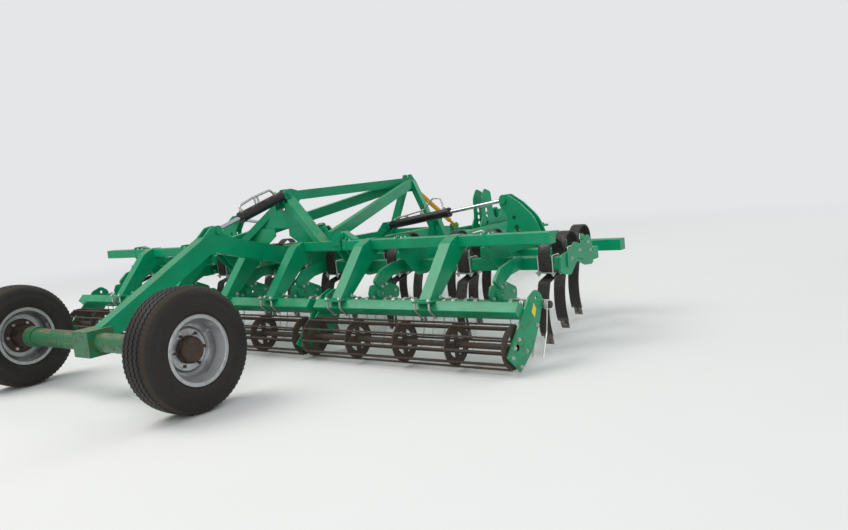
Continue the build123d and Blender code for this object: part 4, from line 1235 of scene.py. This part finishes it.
@dataclass
class RollerCarriers(Fitting):
    """Carrying beams turned on their corner, between long leaning end plates with bolts and a blank sign."""

    plate: float = 0.012
    about: Pair = (0.435, 0.152)
    corners: tuple[Point, ...] = (
        (-0.139, -0.021, 0.006), (0.005, -0.142, 0.006), (0.175, -0.040, 0.060), (0.287, 0.118, 0.120),
        (0.355, 0.268, 0.050), (0.271, 0.328, 0.050), (0.177, 0.294, 0.050))
    hole: Point = (0.266, 0.272, 0.015)
    bolts: tuple[Pair, ...] = (
        (0.005, 0.061), (-0.048, 0.019), (-0.081, -0.034), (0.091, -0.031), (0.010, -0.111), (0.247, 0.102))
    bolt: float = 0.022
    beam_corner: float = 0.005
    sign_at: Pair = (0.218, 0.200)
    sign: tuple[Point, ...] = (
        (0.004, -0.046, 0.0), (0.034, 0.004, 0.0), (0.008, 0.046, 0.0), (-0.026, -0.004, 0.0))
    sign_thickness: float = 0.0015
    sign_ease: float = 0.0003

    def end(self, steel: Bench, bolts: Bench, y: float, s: float) -> None:
        """One end plate with its bolts.

        Args:
            steel: Where the plate goes.
            bolts: Where the bolts go.
            y: Place of the plate's outer face.
            s: 1 where the outer face looks left, -1 where it looks right.
        """
        x, z = self.about
        hole = self.layout.hole(x + self.hole[0], y, z + self.hole[1], self.hole[2])
        steel.slab(self.layout.outline(self.corners, x, z, y), Axis.WIDTH.value * -s * self.plate, (hole,))
        for a, b in self.bolts:
            bolts.bolt(self.layout.at(x + a, y, z + b), Axis.WIDTH.value * s, self.bolt)

    def build(self) -> None:
        """Make the three carriers, with a sign on each outer end."""
        layout, wide, h, r = self.layout, Axis.WIDTH.value, self.layout.carrier_half, self.beam_corner
        square = ((0.0, -h, r), (h, 0.0, r), (0.0, h, r), (-h, 0.0, r))
        ends = {}
        for section, body in SECTIONS:
            low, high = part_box(f"roller_carrier_{section}")
            ends[section] = {-1.0: low.y, 1.0: high.y}
            steel = self.bench(f"carrier_steel_{section}", body, Slot.PAINT)
            bolts = self.bench(f"carrier_bolts_{section}", body)
            steel.slab(layout.outline(square, layout.carrier_x, layout.carrier_z, low.y + self.plate),
                       wide * (high.y - low.y - 2 * self.plate))
            for s, y in ends[section].items():
                self.end(steel, bolts, y, s)
            steel.close(f"roller_carrier_{section}")
            bolts.close()
        x, z = (centre + offset for centre, offset in zip(self.about, self.sign_at))
        for side, s in SIDES:
            sign = self.bench(f"blank_sign_{side}", f"wing_{side}", Slot.YELLOW, SIGN_PAINT)
            sign.slab(layout.outline(self.sign, x, z, ends[side][s]), wide * s * self.sign_thickness,
                      ease=self.sign_ease)
            sign.close()


@dataclass
class ArmFeet(Fitting):
    """Bent bolts that hold the roller arms' feet on the carrier beam."""

    rod: float = 0.008
    apart: float = 0.060
    sole_gap: float = 0.004
    tail: float = 0.022
    shoulder: float = 0.004
    bend: float = 0.016
    nut: Pair = (0.016, 0.013)

    def foot(self, bench: Bench, y: float) -> None:
        """The two bent bolts and four nuts of one foot.

        Args:
            bench: Where the shapes go.
            y: Place of the arm.
        """
        at, x, z, h = self.layout.at, self.layout.carrier_x, self.layout.carrier_z, self.layout.carrier_half
        sole = z + h + self.sole_gap
        reach = h + self.rod * 1.5
        top, shoulder = sole + self.tail, z + self.shoulder
        corners = ((-reach, top), (-reach, shoulder), (0.0, z - reach), (reach, shoulder), (reach, top))
        for s in ENDS:
            across = y + s * self.apart
            bench.rod(rounded([at(x + a, across, level) for a, level in corners], self.bend), self.rod)
            for end in ENDS:
                bench.prism(at(x + end * reach, across, sole), Axis.UP.value, *self.nut)

    def build(self) -> None:
        """Bolt every foot down, the wings' first."""
        for section, body in (*SECTIONS[1:], SECTIONS[0]):
            bench = self.bench(f"arm_bolts_{section}", body)
            for y in self.layout.spots(section, self.layout.carrier_arms):
                self.foot(bench, y)
            bench.close()


@dataclass(frozen=True)
class PipeRun:
    """A pipe on a ram's barrel, by places along the ram and heights above the barrel."""

    barrel: float
    pipe: float
    bend: float
    line: tuple[Pair, ...]
    unions: tuple[tuple[Pair, Pair], ...]


@dataclass
class Ram:
    """One ram's own directions, for what is fixed on its barrel."""

    base: Vector
    way: Vector
    up: Vector
    barrel: float

    def at(self, along: float, height: float) -> Vector:
        """A place along the ram and above its barrel."""
        return self.base + self.way * along + self.up * (self.barrel + height)


@dataclass
class RamPipes(Fitting):
    """Plated pipes, unions and clips on the rams' barrels."""

    lift_run: PipeRun = PipeRun(
        0.043, 0.010, 0.022,
        ((0.505, -0.004), (0.505, 0.048), (0.340, 0.060), (0.150, 0.052), (0.110, -0.004)),
        (((0.505, -0.002), (0.018, 0.022)), ((0.112, -0.004), (0.018, 0.022))))
    fold_run: PipeRun = PipeRun(
        0.037, 0.007, 0.045,
        ((0.640, -0.004), (0.632, 0.100), (0.545, 0.110), (0.430, 0.030), (0.120, 0.012), (0.090, -0.004)),
        (((0.640, -0.004), (0.016, 0.024)), ((0.092, -0.006), (0.014, 0.016))))
    lift_clips: Pair = (0.300, 0.335)
    lift_clip: Pair = (0.012, 0.032)
    lift_clip_top: float = 0.058
    stem: float = 0.009
    stem_ends: Pair = (-0.004, 0.052)
    fold_clips: Pair = (0.230, 0.400)
    fold_clip: Point = (0.030, 0.016, 0.022)
    fold_clip_top: float = 0.009

    def lay(self, kind: str, tail: str, axis: Axis, run: PipeRun) -> tuple[Bench, Ram]:
        """Open the piece for one ram and lay its pipe and unions.

        Args:
            kind: The ram's kind, lift or fold.
            tail: What the names of its nodes and joints end in.
            axis: The axis that its barrel tilts about.
            run: The pipe.

        Returns:
            The open piece and the ram's directions.
        """
        joints, barrel = self.layout.joints, f"{kind}_barrel{tail}"
        way = Vector(joints[f"{kind}_rod{tail}_slide"]["axis"])
        up = axis.value.cross(way)
        ram = Ram(Vector(joints[f"{barrel}_tilt"]["pos_m"]), way, up if up.z > 0 else -up, run.barrel)
        bench = self.bench(f"{kind}_pipe{tail}", barrel)
        bench.rod(rounded([ram.at(*corner) for corner in run.line], run.bend), run.pipe, 10)
        for place, size in run.unions:
            bench.prism(ram.at(*place), ram.up, *size)
        return bench, ram

    def build(self) -> None:
        """Pipe the three rams."""
        wide = Axis.WIDTH.value
        bench, ram = self.lay("lift", "", Axis.WIDTH, self.lift_run)
        for along in self.lift_clips:
            end = ram.at(along, self.lift_clip_top) - wide * self.lift_clip[1] / 2
            bench.prism(end, wide, *self.lift_clip)
            bench.rod([ram.at(along, height) for height in self.stem_ends], self.stem, 10)
        bench.close()
        for side, _ in SIDES:
            bench, ram = self.lay("fold", f"_{side}", Axis.LENGTH, self.fold_run)
            for along in self.fold_clips:
                bench.plate(ram.at(along, self.fold_clip_top), self.fold_clip)
            bench.close()


@dataclass
class FrameFittings(Fitting):
    """Skirts under the tower's web, ends of the cross beam, stops on the wing ends, lock rods and bolts."""

    beam_end: float = 0.056
    skirt_x: float = 0.944
    skirt_thickness: float = 0.010
    skirt: tuple[Pair, ...] = ((0.085, 0.880), (0.200, 0.806), (0.466, 0.806), (0.335, 0.950), (0.085, 0.950))
    stop: tuple[Point, ...] = (
        (0.008, -0.040, 0.010), (0.008, 0.049, 0.050), (0.130, 0.129, 0.060), (0.219, 0.097, 0.060),
        (0.361, 0.158, 0.040), (0.420, 0.065, 0.040), (0.279, -0.020, 0.080), (0.157, 0.015, 0.060))
    stop_thickness: float = 0.010
    stop_bolts: tuple[Pair, ...] = ((0.060, 0.020), (0.330, 0.100), (0.360, 0.040), (0.190, 0.060))
    stop_bolt: float = 0.020
    boss_at: Pair = (0.243, 0.143)
    boss: Pair = (0.026, 0.022)
    boss_sunk: float = 0.002
    beam_corner: float = 0.008
    lock_x: float = 0.930
    lock: tuple[Pair, ...] = ((1.932, 0.832), (2.009, 0.846), (2.079, 0.752))
    lock_bend: float = 0.020
    lock_rod: float = 0.008
    fin_bolts: Pair = (0.024, 0.030)
    fin_bolt: float = 0.017

    def bolt_fins(self, bolts: Bench, section: str) -> None:
        """Four small bolts on the cross beam over each fin of a section.

        Args:
            bolts: Where the bolts go.
            section: The section's name.
        """
        layout = self.layout
        along, apart = self.fin_bolts
        for y in layout.spots(section, layout.fins):
            for a in (-along, along):
                for b in (-apart, apart):
                    bolts.bolt(layout.at(layout.beam_x + a, y + b, layout.beam_z + layout.beam / 2),
                               Axis.UP.value, self.fin_bolt)

    def centre(self) -> None:
        """Skirts and bolts of the centre frame."""
        steel = self.bench("tower_skirts", "main_frame", Slot.PAINT)
        bolts = self.bench("frame_bolts_centre", "main_frame")
        for _, s in SIDES:
            steel.slab([self.layout.at(self.skirt_x, s * y, z) for y, z in self.skirt],
                       Axis.LENGTH.value * self.skirt_thickness)
        self.bolt_fins(bolts, "centre")
        steel.close()
        bolts.close()

    def wing(self, side: str, s: float) -> None:
        """Beam end, stop, lock rod and bolts of one wing.

        Args:
            side: Its side of the machine.
            s: 1 on the left, -1 on the right.
        """
        layout, h, r = self.layout, self.layout.beam / 2, self.beam_corner
        square = ((-h, -h, r), (h, -h, r), (h, h, r), (-h, h, r))
        steel = self.bench(f"wing_ends_{side}", f"wing_{side}", Slot.PAINT)
        bolts = self.bench(f"frame_bolts_{side}", f"wing_{side}")
        wide, end = Axis.WIDTH.value * s, s * layout.half_width
        steel.slab(layout.outline(square, layout.beam_x, layout.beam_z, end), wide * self.beam_end)
        x, z = layout.rows[0], layout.bar_z
        plate, face = end + s * layout.end_plate, end + s * (layout.end_plate + self.stop_thickness)
        steel.slab(layout.outline(self.stop, x, z, plate), wide * self.stop_thickness)
        along, up = self.boss_at
        steel.prism(layout.at(x + along, face - s * self.boss_sunk, z + up), wide, *self.boss, 20, top=0.7)
        for a, b in self.stop_bolts:
            bolts.bolt(layout.at(x + a, face, z + b), wide, self.stop_bolt)
        self.bolt_fins(bolts, side)
        lock = [layout.at(self.lock_x, s * y, z) for y, z in self.lock]
        bolts.rod(rounded(lock, self.lock_bend), self.lock_rod)
        steel.close()
        bolts.close()

    def build(self) -> None:
        """Fit the centre frame and both wings."""
        self.centre()
        for side, s in SIDES:
            self.wing(side, s)


class Machine:
    """The CAD nodes, each given its finish by the record's slots."""

    def __init__(self, frame: dict) -> None:
        """Keep what is needed of the loaded frame.
        """
        self.nodes = frame["nodes"]
        self.slots = {part["node"]: part["material_slot"] for part in frame["record"]["subparts"]}

    def dress(self, paints: Paintbox) -> None:
        """Give every node its finish.

        Args:
            paints: Where finishes come from.
        """
        by_name = {slot.value: slot for slot in Slot}
        for name, thing in self.nodes.items():
            slot = by_name.get(self.slots.get(name, ""), Slot.PAINT)
            if slot is Slot.TYRE:
                continue
            paints.dress(thing, MUDDY_PAINT if name == "axle_tube" else slot)
            thing.data.shade_smooth()
            thing.data.set_sharp_from_angle(angle=math.radians(32))
        LOG.info("%d nodes dressed", len(self.nodes))


def main() -> None:
    """Build the scene's parts in order."""
    logging.basicConfig(level=logging.INFO, format="%(message)s")
    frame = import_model()
    paints = Paintbox()
    Studio().build()
    layout = Layout({joint["name"]: joint for joint in frame["joints"]})
    Machine(frame).dress(paints)
    for fitting in (Tyres, WheelHardware, SpringTines, TineClamps, CombBars, Fingers, RollerCarriers, ArmFeet,
                    RamPipes, FrameFittings):
        fitting(layout, paints).build()


if __name__ == "__main__":
    main()
